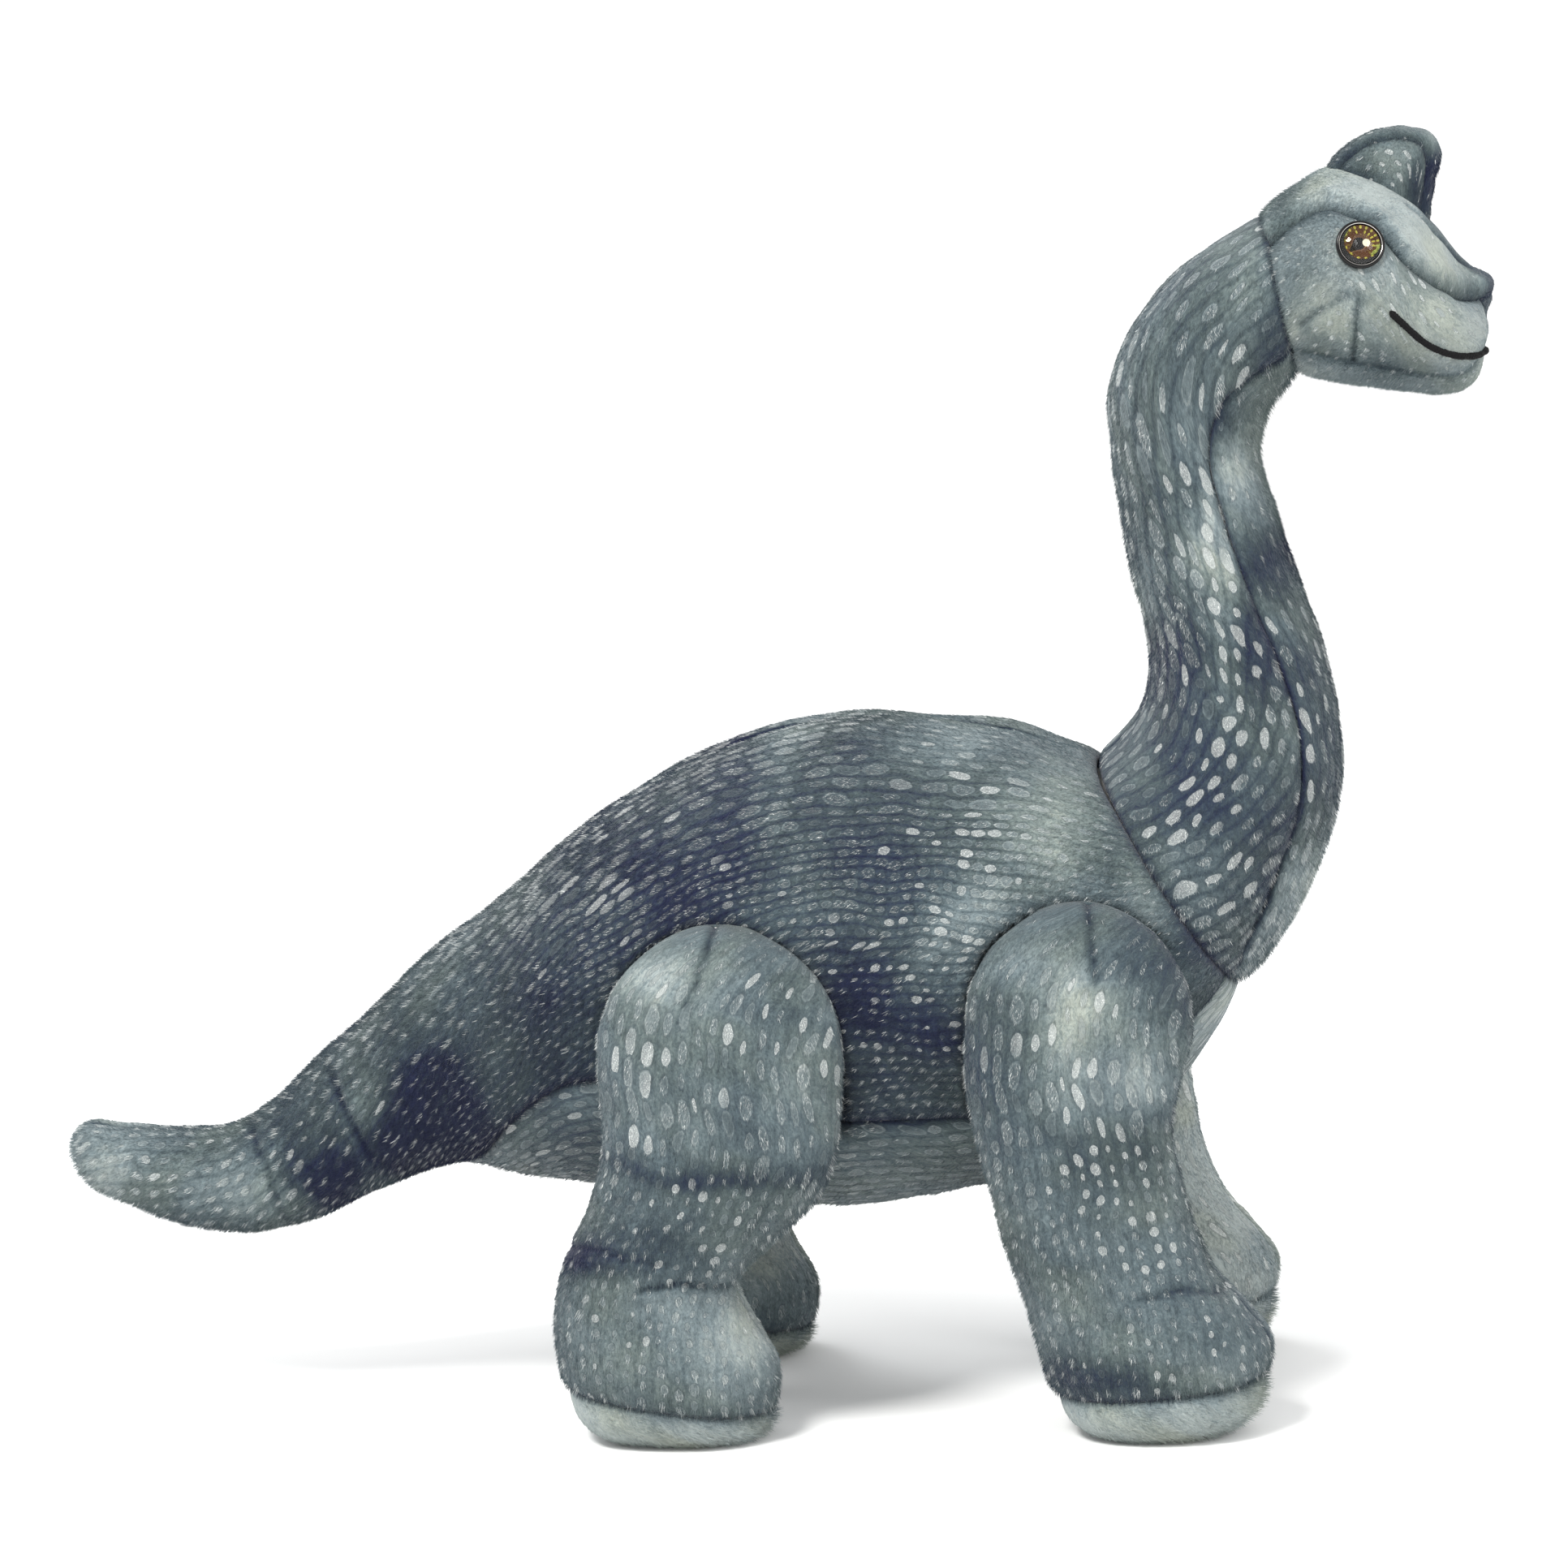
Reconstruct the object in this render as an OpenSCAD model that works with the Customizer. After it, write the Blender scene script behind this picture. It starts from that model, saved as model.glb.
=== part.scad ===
// Stuffed long-necked dinosaur, about 18 inches from tail to snout.
// The toy stands along X with its snout at +X and its right side at -Y. The origin is on the floor, under the
// middle of the toy. Every sewn panel is a thin shell over the stuffing that it holds, and the stuffed
// necks, tail and legs part where the toy bends, with wedge-shaped room for the bend.

/* [Size] */
// Length from the tip of the tail to the snout
toy_length = 456; // [420:1:500]
// Width over the flanks of the torso
torso_width = 124; // [114:1:134]

/* [Cloth] */
// Thickness of the plush cloth, pile pressed down
cloth = 2; // [1.6:0.1:2.4]
// Room between the cloth and the stuffing behind it
slack = 0.25; // [0.2:0.05:0.4]
// Room between two stuffed bodies where they bend
play = 0.5; // [0.4:0.1:1]

/* [Bending] */
// How far the neck leans forward or back, in degrees
neck_lean = 12; // [6:1:14]
// How far the head nods up or down, in degrees
head_nod = 12; // [6:1:14]
// How far the tail swings to each side, in degrees
tail_swing = 20; // [10:1:24]
// How far each leg swings forward or back, in degrees
leg_swing = 12; // [6:1:15]

/* [Eyes] */
// Diameter of a safety eye over its rim
eye_d = 15; // [13:0.5:16]
// Width of the painted iris
iris_d = 12.6; // [10:0.2:12.8]
// Diameter of the shank that passes through the cloth
shank_d = 4; // [3:0.5:5]
// How far the eyes look up, in degrees
eye_tilt = 19; // [12:1:22]
// How far the eyes look forward, in degrees
eye_turn = 12; // [6:1:16]

/* [Face] */
// Thickness of the embroidered mouth line
thread_d = 2; // [1.6:0.2:2.6]
// Width of the crest on the head
crest_w = 14; // [12:1:16]

/* [Hidden] */

// Growth from the sewing pattern's size, which is 456 long and 124 wide
grow = toy_length / 456;
grow_w = torso_width / 124;

// Colours of the cloth and the plastic
slate = [0.42, 0.50, 0.54];
pale = [0.60, 0.66, 0.67];
navy = [0.22, 0.28, 0.40];
fill_white = [0.93, 0.93, 0.90];
black = [0.05, 0.05, 0.06];

// How square the cross-sections are: 1 is an ellipse, and less is fuller
fullness = 0.92;

// Each row below is one cross-section of a stuffed tube: x and z of its first end, x and z of its second
// end, then y at its inner and its outer side. The first end is the top of the torso, tail and head, and
// the back of the neck, legs and crest. A torso or neck row ends with the angle from its first end at
// which the side panel stops. A head row ends with the angles of the brow seam and of the chin seam.
torso_rows = [
    [-104, 148, -97, 78, -36, 36, 145],
    [-86, 160, -82, 75.5, -44, 44, 114],
    [-66, 177, -64, 73.5, -51, 51, 107],
    [-40, 194, -41, 68, -57, 57, 107],
    [-12, 206.5, -14, 63.5, -60.5, 60.5, 112],
    [20, 215.5, 15, 62.5, -62, 62, 122],
    [48, 214.5, 47, 65.5, -62, 62, 125],
    [74, 211, 82, 73, -61, 61, 128],
    [91, 205.5, 118, 92.5, -58, 58, 135],
    [104, 201.5, 147, 131, -50, 50, 150]
];
tail_rows = [
    [-228, 85, -228, 82, -1.5, 1.5, 120],
    [-225.5, 89.5, -224.5, 74, -8.5, 8.5, 120],
    [-212, 88.5, -207, 64, -14.5, 14.5, 120],
    [-195, 87, -188, 58.5, -18, 18, 120],
    [-178, 88.5, -168, 57, -21, 21, 120],
    [-163, 96, -149, 61, -23.5, 23.5, 120],
    [-147, 111.5, -130, 68.5, -26.5, 26.5, 120],
    [-127, 129, -113, 75.5, -31, 31, 120],
    [-104, 148, -97, 78, -36, 36, 120]
];
neck_rows = [
    [104, 201.5, 147, 131, -50, 50, 150],
    [113, 209, 165, 158, -43, 43, 137],
    [119, 219, 176, 187, -36, 36, 132],
    [121.5, 232, 178, 208, -31, 31, 127],
    [120, 245, 174.5, 228, -28, 28, 121],
    [116.5, 262, 169, 251, -26, 26, 113],
    [114, 281, 161, 275, -24.5, 24.5, 110],
    [112, 300, 156, 296, -23.5, 23.5, 111],
    [113, 321, 158.5, 309, -24.5, 24.5, 117],
    [120, 336, 162, 315, -26, 26, 130],
    [137, 353.5, 164.5, 318.5, -27.5, 27.5, 140],
    [160, 367, 169, 322, -28, 28, 138]
];
head_rows = [
    [160, 367, 169, 322, -28, 28, 48, 138],
    [171, 376, 176, 319.5, -31.5, 31.5, 39, 140],
    [181, 379.5, 186, 317, -33, 33, 29, 142],
    [194, 374.5, 197, 315, -32, 32, 35, 142],
    [205, 367.5, 206, 313.5, -29, 29, 56, 140],
    [212, 361, 213, 312.5, -26, 26, 59, 138],
    [218, 353, 220, 313.5, -22, 22, 57, 136],
    [223.5, 348, 224, 316.5, -16, 16, 54, 134],
    [225.4, 341, 225.6, 322, -9, 9, 52, 132]
];
hind_leg_rows = [
    [-43, 0, -18, 0, 46, 66],
    [-52, 3.5, -9, 3, 39, 73],
    [-59, 9, -2.5, 7, 34, 78.5],
    [-62.5, 16, 1, 12, 32, 80.5],
    [-64.5, 26, 2.5, 24, 31.5, 81],
    [-65, 39, -5, 37, 33, 79],
    [-62.5, 51, -10, 49, 35, 78],
    [-58.5, 62, 1, 62, 38, 78.5],
    [-52, 74, 14.5, 74, 43.5, 79],
    [-47.5, 88, 22, 88, 50.5, 79.5],
    [-47.5, 104, 26, 104, 50.5, 79],
    [-48.5, 122, 26.5, 122, 50.5, 77.5],
    [-46, 136, 24, 136, 50.5, 74.5],
    [-39, 148, 17, 148, 50.5, 70.5],
    [-28, 156.5, 6, 156.5, 52, 67],
    [-17, 160.5, -5, 160.5, 56, 63]
];
fore_leg_rows = [
    [107, 0, 131, 0, 46, 66],
    [98, 3.5, 140, 4, 39, 73],
    [91, 8, 147.5, 10, 34, 78.5],
    [87.5, 14, 151, 18, 32, 80],
    [84.5, 26, 153, 29, 31.5, 80.5],
    [81.5, 37, 147, 39, 33, 79],
    [78, 49, 137, 51, 35, 77.5],
    [74, 62, 132, 63, 38, 77],
    [70.5, 78, 129, 78, 43.5, 77.5],
    [67, 94, 127, 94, 50.5, 78],
    [64, 110, 129.5, 110, 50.5, 78],
    [63.8, 127, 134.2, 127, 50.5, 76.5],
    [65.5, 140, 132.5, 140, 50.5, 74],
    [72, 152, 126, 152, 50.5, 70],
    [83, 160.5, 115, 160.5, 52, 66.5],
    [93, 164.5, 105, 164.5, 56, 63]
];
// The first rows of a leg, up to this one, are its sole
sole_top = 3;

// Middle of each leg's round top, x and z, and its radius
hind_hip = [-11, 123, 37.5];
fore_hip = [99, 129.5, 35.5];
// Depth that the leg tops are set into the flanks: y of the pocket's floor
pocket_y = 49.8 * grow_w;

// Outline of the crest in side view, from its back corner round to its front corner, then along its foot
crest_outline = [
    [179.5, 381.4], [184, 385.2], [189, 388.8], [196, 391.8], [206, 393], [212.5, 390], [215, 385],
    [213, 379], [211.4, 371], [210.6, 364], [205, 368.9], [194, 375.8], [181.5, 380.4]
];
// Height over the head at which the crest's own seam allowance starts
crest_edge = 2.2;

// Eye on the right side of the head: the point of the cloth under its middle
eye_spot = [189.2, -30.5, 359];
// Thickness of the eye's plastic back, the iris and the washer behind the cloth
eye_back = 2.2;
iris_t = 0.6;
washer_t = 1.2;
washer_d = eye_d - 5;
// How far in from the cloth's face the washer sits
washer_in = 4.4;
shank_l = 11;
// Gap under the eye and under the mouth line, where they lie on the cloth
face_gap = 0.3;
// Mouth line on the right side, as x and z, from the cheek to the middle of the snout
mouth_line = [
    [197.4, 340], [203, 334], [208, 329.3], [213, 326.2], [218, 324.4], [222, 323.7], [224, 323.6],
    [225.5, 323.6]
];

// A vector list scaled from the pattern to this toy, leaving the seam angles alone
function sized(row) = [
    row[0] * grow, row[1] * grow, row[2] * grow, row[3] * grow, row[4] * grow_w, row[5] * grow_w,
    row[6], row[7]
];
function sized_all(rows) = [for (row = rows) sized(row)];

// Which column of a ring lies at which angle from the ring's first end, for the first half of the ring
body_marks = function(row) [[0, 0], [6, 90], [8, row[6]], [12, 180]];
head_marks = function(row) [[0, 0], [3, row[6]], [6, 90], [9, row[7]], [12, 180]];
leg_marks = function(row) [[0, 0], [8, 180]];
body_half = 12;
leg_half = 8;

function column_angle(table, half, k) = k <= half ? lookup(k, table) : 360 - lookup(2 * half - k, table);
function fuller(v) = sign(v) * pow(abs(v), fullness);
function at_least(v) = max(v, 0.4);

// Wedge of room at a bend: none on the hinge line, and more the further out a point is
function bend_room(side, reach, angle) = side == 0 ? 0 : side * (play / 2 + abs(reach) * tan(angle / 2));

// One ring of points. inset brings it inside the cloth's face, shift moves it along the tube, and
// bend = [side, angle, across] opens it for a bend: across is true for a hinge along Y
function ring(row, marks, half, inset, shift, bend) =
    let (
        mid = [row[0] + row[2], row[1] + row[3]] / 2,
        arm = [row[0] - row[2], row[1] - row[3]] / 2,
        reach = norm(arm),
        along = [arm[1], -arm[0]] / reach,
        long_half = at_least(reach - inset),
        y_half = at_least((row[5] - row[4]) / 2 - inset),
        y_mid = (row[4] + row[5]) / 2,
        table = marks(row)
    )
    [
        for (k = [0:2 * half - 1])
            let (
                angle = column_angle(table, half, k),
                up = long_half * fuller(cos(angle)),
                out = y_mid + y_half * fuller(sin(angle)),
                move = shift + bend_room(bend[0], bend[2] ? up : out, bend[1])
            )
            [
                mid[0] + arm[0] / reach * up + along[0] * move,
                -out,
                mid[1] + arm[1] / reach * up + along[1] * move
            ]
    ];

// All rings of a tube. start and end are the bends at its ends, or a plain end where side is 0
no_bend = [0, 0, true];
function rings(rows, marks, half, inset, start, end) =
    let (last = len(rows) - 1)
    [
        for (i = [0:last])
            ring(
                rows[i], marks, half, inset,
                i == 0 && start[0] == 0 ? inset : i == last && end[0] == 0 ? -inset : 0,
                i == 0 ? start : i == last ? end : no_bend
            )
    ];

function flat_list(lists) = [for (l = lists) for (p = l) p];

// Two triangles of a grid cell, facing out, or in where flip is true. The left half of a ring has its cells
// cut along their other diagonal, so that it mirrors the right half
function cell(a, b, c, d, flip, left = false) =
    left ? cell(b, c, d, a, flip) : flip ? [[a, c, b], [a, d, c]] : [[a, b, c], [a, c, d]];

// A solid tube. q is the column where each end face folds, which is on the hinge line
module solid_tube(loops, q_start, q_end) {
    n = len(loops[0]);
    last = len(loops) - 1;
    sides = [
        for (i = [0:last - 1])
            for (k = [0:n - 1])
                each cell(
                    i * n + k, (i + 1) * n + k, (i + 1) * n + (k + 1) % n, i * n + (k + 1) % n, false,
                    k >= n / 2
                )
    ];
    half = n / 2;
    start_faces = [for (h = [0, half]) [for (j = [0:half]) (q_start + h + j) % n]];
    end_faces = [for (h = [0, half]) [for (j = [0:half]) last * n + (q_end + h + half - j) % n]];
    polyhedron(flat_list(loops), concat(sides, start_faces, end_faces));
}

// A sewn panel: the shell between an outer and an inner tube, from column k0 to column k1
module panel(outer, inner, k0, k1) {
    n = k1 - k0 + 1;
    size = len(outer[0]);
    last = len(outer) - 1;
    points = [
        for (side = [outer, inner])
            for (loop = side)
                for (k = [k0:k1])
                    loop[(k + size) % size]
    ];
    far = (last + 1) * n;
    faces = [
        for (i = [0:last - 1])
            for (j = [0:n - 2])
                for (base = [0, far])
                    each cell(
                        base + i * n + j, base + (i + 1) * n + j, base + (i + 1) * n + j + 1,
                        base + i * n + j + 1, base > 0, (k0 + j + size) % size >= size / 2
                    )
    ];
    edges = [
        for (i = [0:last - 1])
            for (j = [0, n - 1])
                let (a = i * n + j, b = (i + 1) * n + j)
                each cell(b, a, far + a, far + b, j > 0)
    ];
    ends = [
        for (j = [0:n - 2])
            for (i = [0, last])
                let (a = i * n + j)
                each cell(a, far + a, far + a + 1, a + 1, i == 0)
    ];
    polyhedron(points, concat(faces, edges, ends));
}

// A sole: a cup of cloth, closed below and open at its rim
module cup(outer, inner) {
    n = len(outer[0]);
    last = len(outer) - 1;
    far = (last + 1) * n;
    sides = [
        for (i = [0:last - 1])
            for (k = [0:n - 1])
                for (base = [0, far])
                    each cell(
                        base + i * n + k, base + (i + 1) * n + k, base + (i + 1) * n + (k + 1) % n,
                        base + i * n + (k + 1) % n, base > 0, k >= n / 2
                    )
    ];
    rim = [
        for (k = [0:n - 1])
            let (a = last * n + k, b = last * n + (k + 1) % n)
            each cell(a, far + a, far + b, b, false)
    ];
    bottom = [[for (k = [0:n - 1]) k], [for (k = [0:n - 1]) far + n - 1 - k]];
    polyhedron(concat(flat_list(outer), flat_list(inner)), concat(sides, rim, bottom));
}

// Rings of each tube at a depth below the cloth's face
function torso_rings(inset) = rings(
    sized_all(torso_rows), body_marks, body_half, inset, [1, tail_swing, false], [-1, neck_lean, true]
);
function tail_rings(inset) = rings(
    sized_all(tail_rows), body_marks, body_half, inset, no_bend, [-1, tail_swing, false]
);
function neck_rings(inset) = rings(
    sized_all(neck_rows), body_marks, body_half, inset, [1, neck_lean, true], [-1, head_nod, true]
);
function head_rings(inset) = rings(
    sized_all(head_rows), head_marks, body_half, inset, [1, head_nod, true], no_bend
);
function leg_rings(rows, inset) = rings(sized_all(rows), leg_marks, leg_half, inset, no_bend, no_bend);
function first_rings(loops, count) = [for (i = [0:count]) loops[i]];
function last_rings(loops, from) = [for (i = [from:len(loops) - 1]) loops[i]];

// Columns where the panels meet: the belly or throat seam, the brow seam and the chin seam
under_seam = 8;
brow_seam = 3;
chin_seam = 9;
// Columns on the hinge line of a bend across the toy, and of the tail's upright bend
across_fold = 6;
upright_fold = 0;

// Room in a flank for the round top of a leg, and below it for the leg's sides as they swing
module leg_pocket(hip) {
    r = hip[2] * grow + 0.7;
    wide = 0.95 * hip[2] * grow * (cos(leg_swing) + sin(leg_swing)) + 0.7;
    drop = 75 * grow;
    outline = concat(
        [for (a = [0:7.5:180]) r * [cos(a), sin(a)]],
        [[-wide, -4], [-wide, -drop], [wide, -drop], [wide, -4]]
    );
    translate([hip[0] * grow, -pocket_y, hip[1] * grow])
        rotate([90, 0, 0])
            linear_extrude(height = 40)
                polygon(outline);
}

module right_and_left() {
    children();
    mirror([0, 1, 0]) children();
}

// ---- torso ----
module torso_stuffing() {
    color(fill_white)
        difference() {
            solid_tube(torso_rings(cloth + slack), upright_fold, across_fold);
            right_and_left() {
                leg_pocket(hind_hip);
                leg_pocket(fore_hip);
            }
        }
}

module body_panel_right() {
    color(slate)
        difference() {
            panel(torso_rings(0), torso_rings(cloth), 0, under_seam);
            leg_pocket(hind_hip);
            leg_pocket(fore_hip);
        }
}

module body_panel_left() {
    mirror([0, 1, 0]) body_panel_right();
}

module belly_panel() {
    color(slate)
        difference() {
            panel(torso_rings(0), torso_rings(cloth), under_seam, 2 * body_half - under_seam);
            right_and_left() {
                leg_pocket(hind_hip);
                leg_pocket(fore_hip);
            }
        }
}

// ---- tail ----
module tail_stuffing() {
    color(fill_white) solid_tube(tail_rings(cloth + slack), upright_fold, upright_fold);
}

module tail_panel_right() {
    color(navy) panel(tail_rings(0), tail_rings(cloth), 0, body_half);
}

module tail_panel_left() {
    mirror([0, 1, 0]) tail_panel_right();
}

// ---- neck ----
module neck_stuffing() {
    color(fill_white) solid_tube(neck_rings(cloth + slack), across_fold, across_fold);
}

module neck_panel_right() {
    color(slate) panel(neck_rings(0), neck_rings(cloth), 0, under_seam);
}

module neck_panel_left() {
    mirror([0, 1, 0]) neck_panel_right();
}

module throat_panel() {
    color(navy) panel(neck_rings(0), neck_rings(cloth), under_seam, 2 * body_half - under_seam);
}

// ---- head ----
// Places its children on the right eye's axis, with +Z pointing out of the head
module on_eye_axis() {
    translate([eye_spot[0] * grow, eye_spot[1] * grow_w, eye_spot[2] * grow])
        rotate([90 - eye_tilt, 0, eye_turn])
            children();
}

module eye_hole() {
    on_eye_axis()
        translate([0, 0, -shank_l - 1])
            cylinder(d = shank_d + 0.8, h = shank_l + 8, $fn = 48);
}

module eye_socket_in_stuffing() {
    eye_hole();
    on_eye_axis()
        translate([0, 0, -washer_in - washer_t - 0.4])
            cylinder(d = eye_d, h = 8, $fn = 48);
}

module head_stuffing() {
    color(fill_white)
        difference() {
            solid_tube(head_rings(cloth + slack), across_fold, across_fold);
            right_and_left() eye_socket_in_stuffing();
        }
}

module head_side_right() {
    color(pale)
        difference() {
            panel(head_rings(0), head_rings(cloth), brow_seam, chin_seam);
            eye_hole();
        }
}

module head_side_left() {
    mirror([0, 1, 0]) head_side_right();
}

module head_top_panel() {
    color(pale) panel(head_rings(0), head_rings(cloth), -brow_seam, brow_seam);
}

module chin_panel() {
    color(pale) panel(head_rings(0), head_rings(cloth), chin_seam, 2 * body_half - chin_seam);
}

// ---- crest ----
module crest_shape(inset) {
    offset(delta = -inset)
        scale(grow)
            polygon(crest_outline);
}

// A slab of the crest's outline between two values of y
module crest_slab(inset, y0, y1) {
    translate([0, y1, 0])
        rotate([90, 0, 0])
            linear_extrude(height = y1 - y0)
                crest_shape(inset);
}

module crest_gusset() {
    color(navy)
        difference() {
            crest_slab(0, -crest_w / 2, crest_w / 2);
            crest_slab(crest_edge, -crest_w, crest_w);
        }
}

module crest_side_right() {
    color(navy) crest_slab(crest_edge + 0.1, -crest_w / 2, cloth - crest_w / 2);
}

module crest_side_left() {
    mirror([0, 1, 0]) crest_side_right();
}

module crest_stuffing() {
    half = crest_w / 2 - cloth - slack;
    color(fill_white) crest_slab(crest_edge + slack, -half, half);
}

// ---- face ----
// Half width of the head's face at a point of its side view
function head_top_at(x) = lookup(x, [for (row = head_rows) [row[0], row[1]]]);
function head_under_at(x) = lookup(x, [for (row = head_rows) [row[2], row[3]]]);
function head_half_at(x) = lookup(x, [for (row = head_rows) [(row[0] + row[2]) / 2, row[5]]]);
function face_y(x, z) =
    let (
        mid = (head_top_at(x) + head_under_at(x)) / 2,
        tall = (head_top_at(x) - head_under_at(x)) / 2,
        share = pow(min(1, abs(z - mid) / tall), 1 / fullness)
    )
    head_half_at(x) * pow(sqrt(1 - share * share), fullness);

// The mouth line on the cloth, from the right cheek round the snout to the left cheek
mouth_right = [for (p = mouth_line) [p[0] * grow, -face_y(p[0], p[1]) * grow_w, p[1] * grow]];
mouth_end = len(mouth_line) - 1;
mouth_path = concat(
    mouth_right, [[mouth_right[mouth_end][0], 0, mouth_right[mouth_end][2]]],
    [for (i = [mouth_end:-1:0]) [mouth_right[i][0], -mouth_right[i][1], mouth_right[i][2]]]
);

module mouth_thread() {
    last = len(mouth_path) - 1;
    sides = 6;
    turn = 360 / sides;
    loops = [
        for (i = [0:last])
            let (
                ahead = mouth_path[min(i + 1, last)] - mouth_path[max(i - 1, 0)],
                run = ahead / norm(ahead),
                out = cross(run, [0, 0, 1]) / norm(cross(run, [0, 0, 1])),
                up = cross(out, run),
                mid = mouth_path[i] + out * (thread_d / 2 + face_gap)
            )
            [for (k = [0:sides - 1]) mid + thread_d / 2 * (out * cos(turn * k) - up * sin(turn * k))]
    ];
    color(black) solid_tube(loops, 0, 0);
}

module eye_shell_right() {
    color(black)
        on_eye_axis() {
            translate([0, 0, face_gap])
                difference() {
                    cylinder(d = eye_d, h = eye_back, $fn = 64);
                    translate([0, 0, eye_back - iris_t]) cylinder(d = iris_d + 0.2, h = 2, $fn = 64);
                }
            translate([0, 0, face_gap + 0.1 - shank_l]) cylinder(d = shank_d, h = shank_l, $fn = 48);
        }
}

module eye_iris_right() {
    color([0.45, 0.28, 0.12])
        on_eye_axis()
            translate([0, 0, face_gap + eye_back - iris_t])
                cylinder(d = iris_d, h = iris_t, $fn = 64);
}

// The clear dome is the cap of a sphere
module eye_dome_right() {
    rise = 3.2;
    half = iris_d / 2;
    r = (half * half + rise * rise) / (2 * rise);
    color([0.9, 0.9, 0.9, 0.4])
        on_eye_axis()
            translate([0, 0, face_gap + eye_back])
                intersection() {
                    translate([0, 0, rise - r]) sphere(r = r, $fn = 64);
                    cylinder(d = eye_d, h = rise + 1, $fn = 64);
                }
}

module eye_washer_right() {
    color([0.85, 0.85, 0.83])
        on_eye_axis()
            translate([0, 0, -washer_in - washer_t])
                difference() {
                    cylinder(d = washer_d, h = washer_t, $fn = 48);
                    translate([0, 0, -1]) cylinder(d = shank_d + 0.2, h = 4, $fn = 48);
                }
}

module eye_shell_left() {
    mirror([0, 1, 0]) eye_shell_right();
}

module eye_iris_left() {
    mirror([0, 1, 0]) eye_iris_right();
}

module eye_dome_left() {
    mirror([0, 1, 0]) eye_dome_right();
}

module eye_washer_left() {
    mirror([0, 1, 0]) eye_washer_right();
}

// ---- legs ----
module leg_stuffing(rows) {
    color(fill_white) solid_tube(leg_rings(rows, cloth + slack), 0, 0);
}

module leg_outer(rows) {
    color(slate)
        panel(
            last_rings(leg_rings(rows, 0), sole_top), last_rings(leg_rings(rows, cloth), sole_top),
            0, leg_half
        );
}

module leg_inner(rows) {
    color(slate)
        panel(
            last_rings(leg_rings(rows, 0), sole_top), last_rings(leg_rings(rows, cloth), sole_top),
            leg_half, 2 * leg_half
        );
}

module sole(rows) {
    color(pale)
        cup(first_rings(leg_rings(rows, 0), sole_top), first_rings(leg_rings(rows, cloth), sole_top));
}

torso_stuffing();
body_panel_right();
body_panel_left();
belly_panel();
tail_stuffing();
tail_panel_right();
tail_panel_left();
neck_stuffing();
neck_panel_right();
neck_panel_left();
throat_panel();
head_stuffing();
head_side_right();
head_side_left();
head_top_panel();
chin_panel();
crest_stuffing();
crest_side_right();
crest_side_left();
crest_gusset();
mouth_thread();
eye_shell_right();
eye_iris_right();
eye_dome_right();
eye_washer_right();
eye_shell_left();
eye_iris_left();
eye_dome_left();
eye_washer_left();
leg_stuffing(hind_leg_rows);  // hind_leg_stuffing_right
leg_outer(hind_leg_rows);  // hind_leg_outer_right
leg_inner(hind_leg_rows);  // hind_leg_inner_right
sole(hind_leg_rows);  // hind_sole_right
mirror([0, 1, 0]) leg_stuffing(hind_leg_rows);  // hind_leg_stuffing_left
mirror([0, 1, 0]) leg_outer(hind_leg_rows);  // hind_leg_outer_left
mirror([0, 1, 0]) leg_inner(hind_leg_rows);  // hind_leg_inner_left
mirror([0, 1, 0]) sole(hind_leg_rows);  // hind_sole_left
leg_stuffing(fore_leg_rows);  // fore_leg_stuffing_right
leg_outer(fore_leg_rows);  // fore_leg_outer_right
leg_inner(fore_leg_rows);  // fore_leg_inner_right
sole(fore_leg_rows);  // fore_sole_right
mirror([0, 1, 0]) leg_stuffing(fore_leg_rows);  // fore_leg_stuffing_left
mirror([0, 1, 0]) leg_outer(fore_leg_rows);  // fore_leg_outer_left
mirror([0, 1, 0]) leg_inner(fore_leg_rows);  // fore_leg_inner_left
mirror([0, 1, 0]) sole(fore_leg_rows);  // fore_sole_left
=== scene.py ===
import math
import bpy
import numpy as np
from mathutils import Matrix, Vector
from mathutils.bvhtree import BVHTree


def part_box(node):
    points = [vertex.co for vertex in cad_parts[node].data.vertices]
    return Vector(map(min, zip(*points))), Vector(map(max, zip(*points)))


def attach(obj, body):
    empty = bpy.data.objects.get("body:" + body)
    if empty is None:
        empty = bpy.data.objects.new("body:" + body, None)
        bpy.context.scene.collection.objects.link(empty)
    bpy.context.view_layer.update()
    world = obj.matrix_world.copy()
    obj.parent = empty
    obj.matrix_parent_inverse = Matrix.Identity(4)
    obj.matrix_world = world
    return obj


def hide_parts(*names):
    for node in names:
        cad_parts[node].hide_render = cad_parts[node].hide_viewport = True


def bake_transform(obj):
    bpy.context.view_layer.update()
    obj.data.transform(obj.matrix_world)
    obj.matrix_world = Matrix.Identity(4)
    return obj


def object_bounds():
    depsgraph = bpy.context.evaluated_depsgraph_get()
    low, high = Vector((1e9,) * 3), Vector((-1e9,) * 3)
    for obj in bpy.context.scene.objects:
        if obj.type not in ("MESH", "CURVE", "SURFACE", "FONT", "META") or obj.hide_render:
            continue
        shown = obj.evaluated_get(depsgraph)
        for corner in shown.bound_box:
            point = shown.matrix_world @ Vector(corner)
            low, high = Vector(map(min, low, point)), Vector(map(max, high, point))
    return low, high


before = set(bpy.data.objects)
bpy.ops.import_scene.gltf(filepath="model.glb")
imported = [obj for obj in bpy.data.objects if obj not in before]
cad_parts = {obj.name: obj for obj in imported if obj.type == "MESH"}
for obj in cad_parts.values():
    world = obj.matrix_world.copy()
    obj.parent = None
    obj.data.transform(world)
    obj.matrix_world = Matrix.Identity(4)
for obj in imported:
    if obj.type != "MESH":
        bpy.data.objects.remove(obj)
cad_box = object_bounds()

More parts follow.
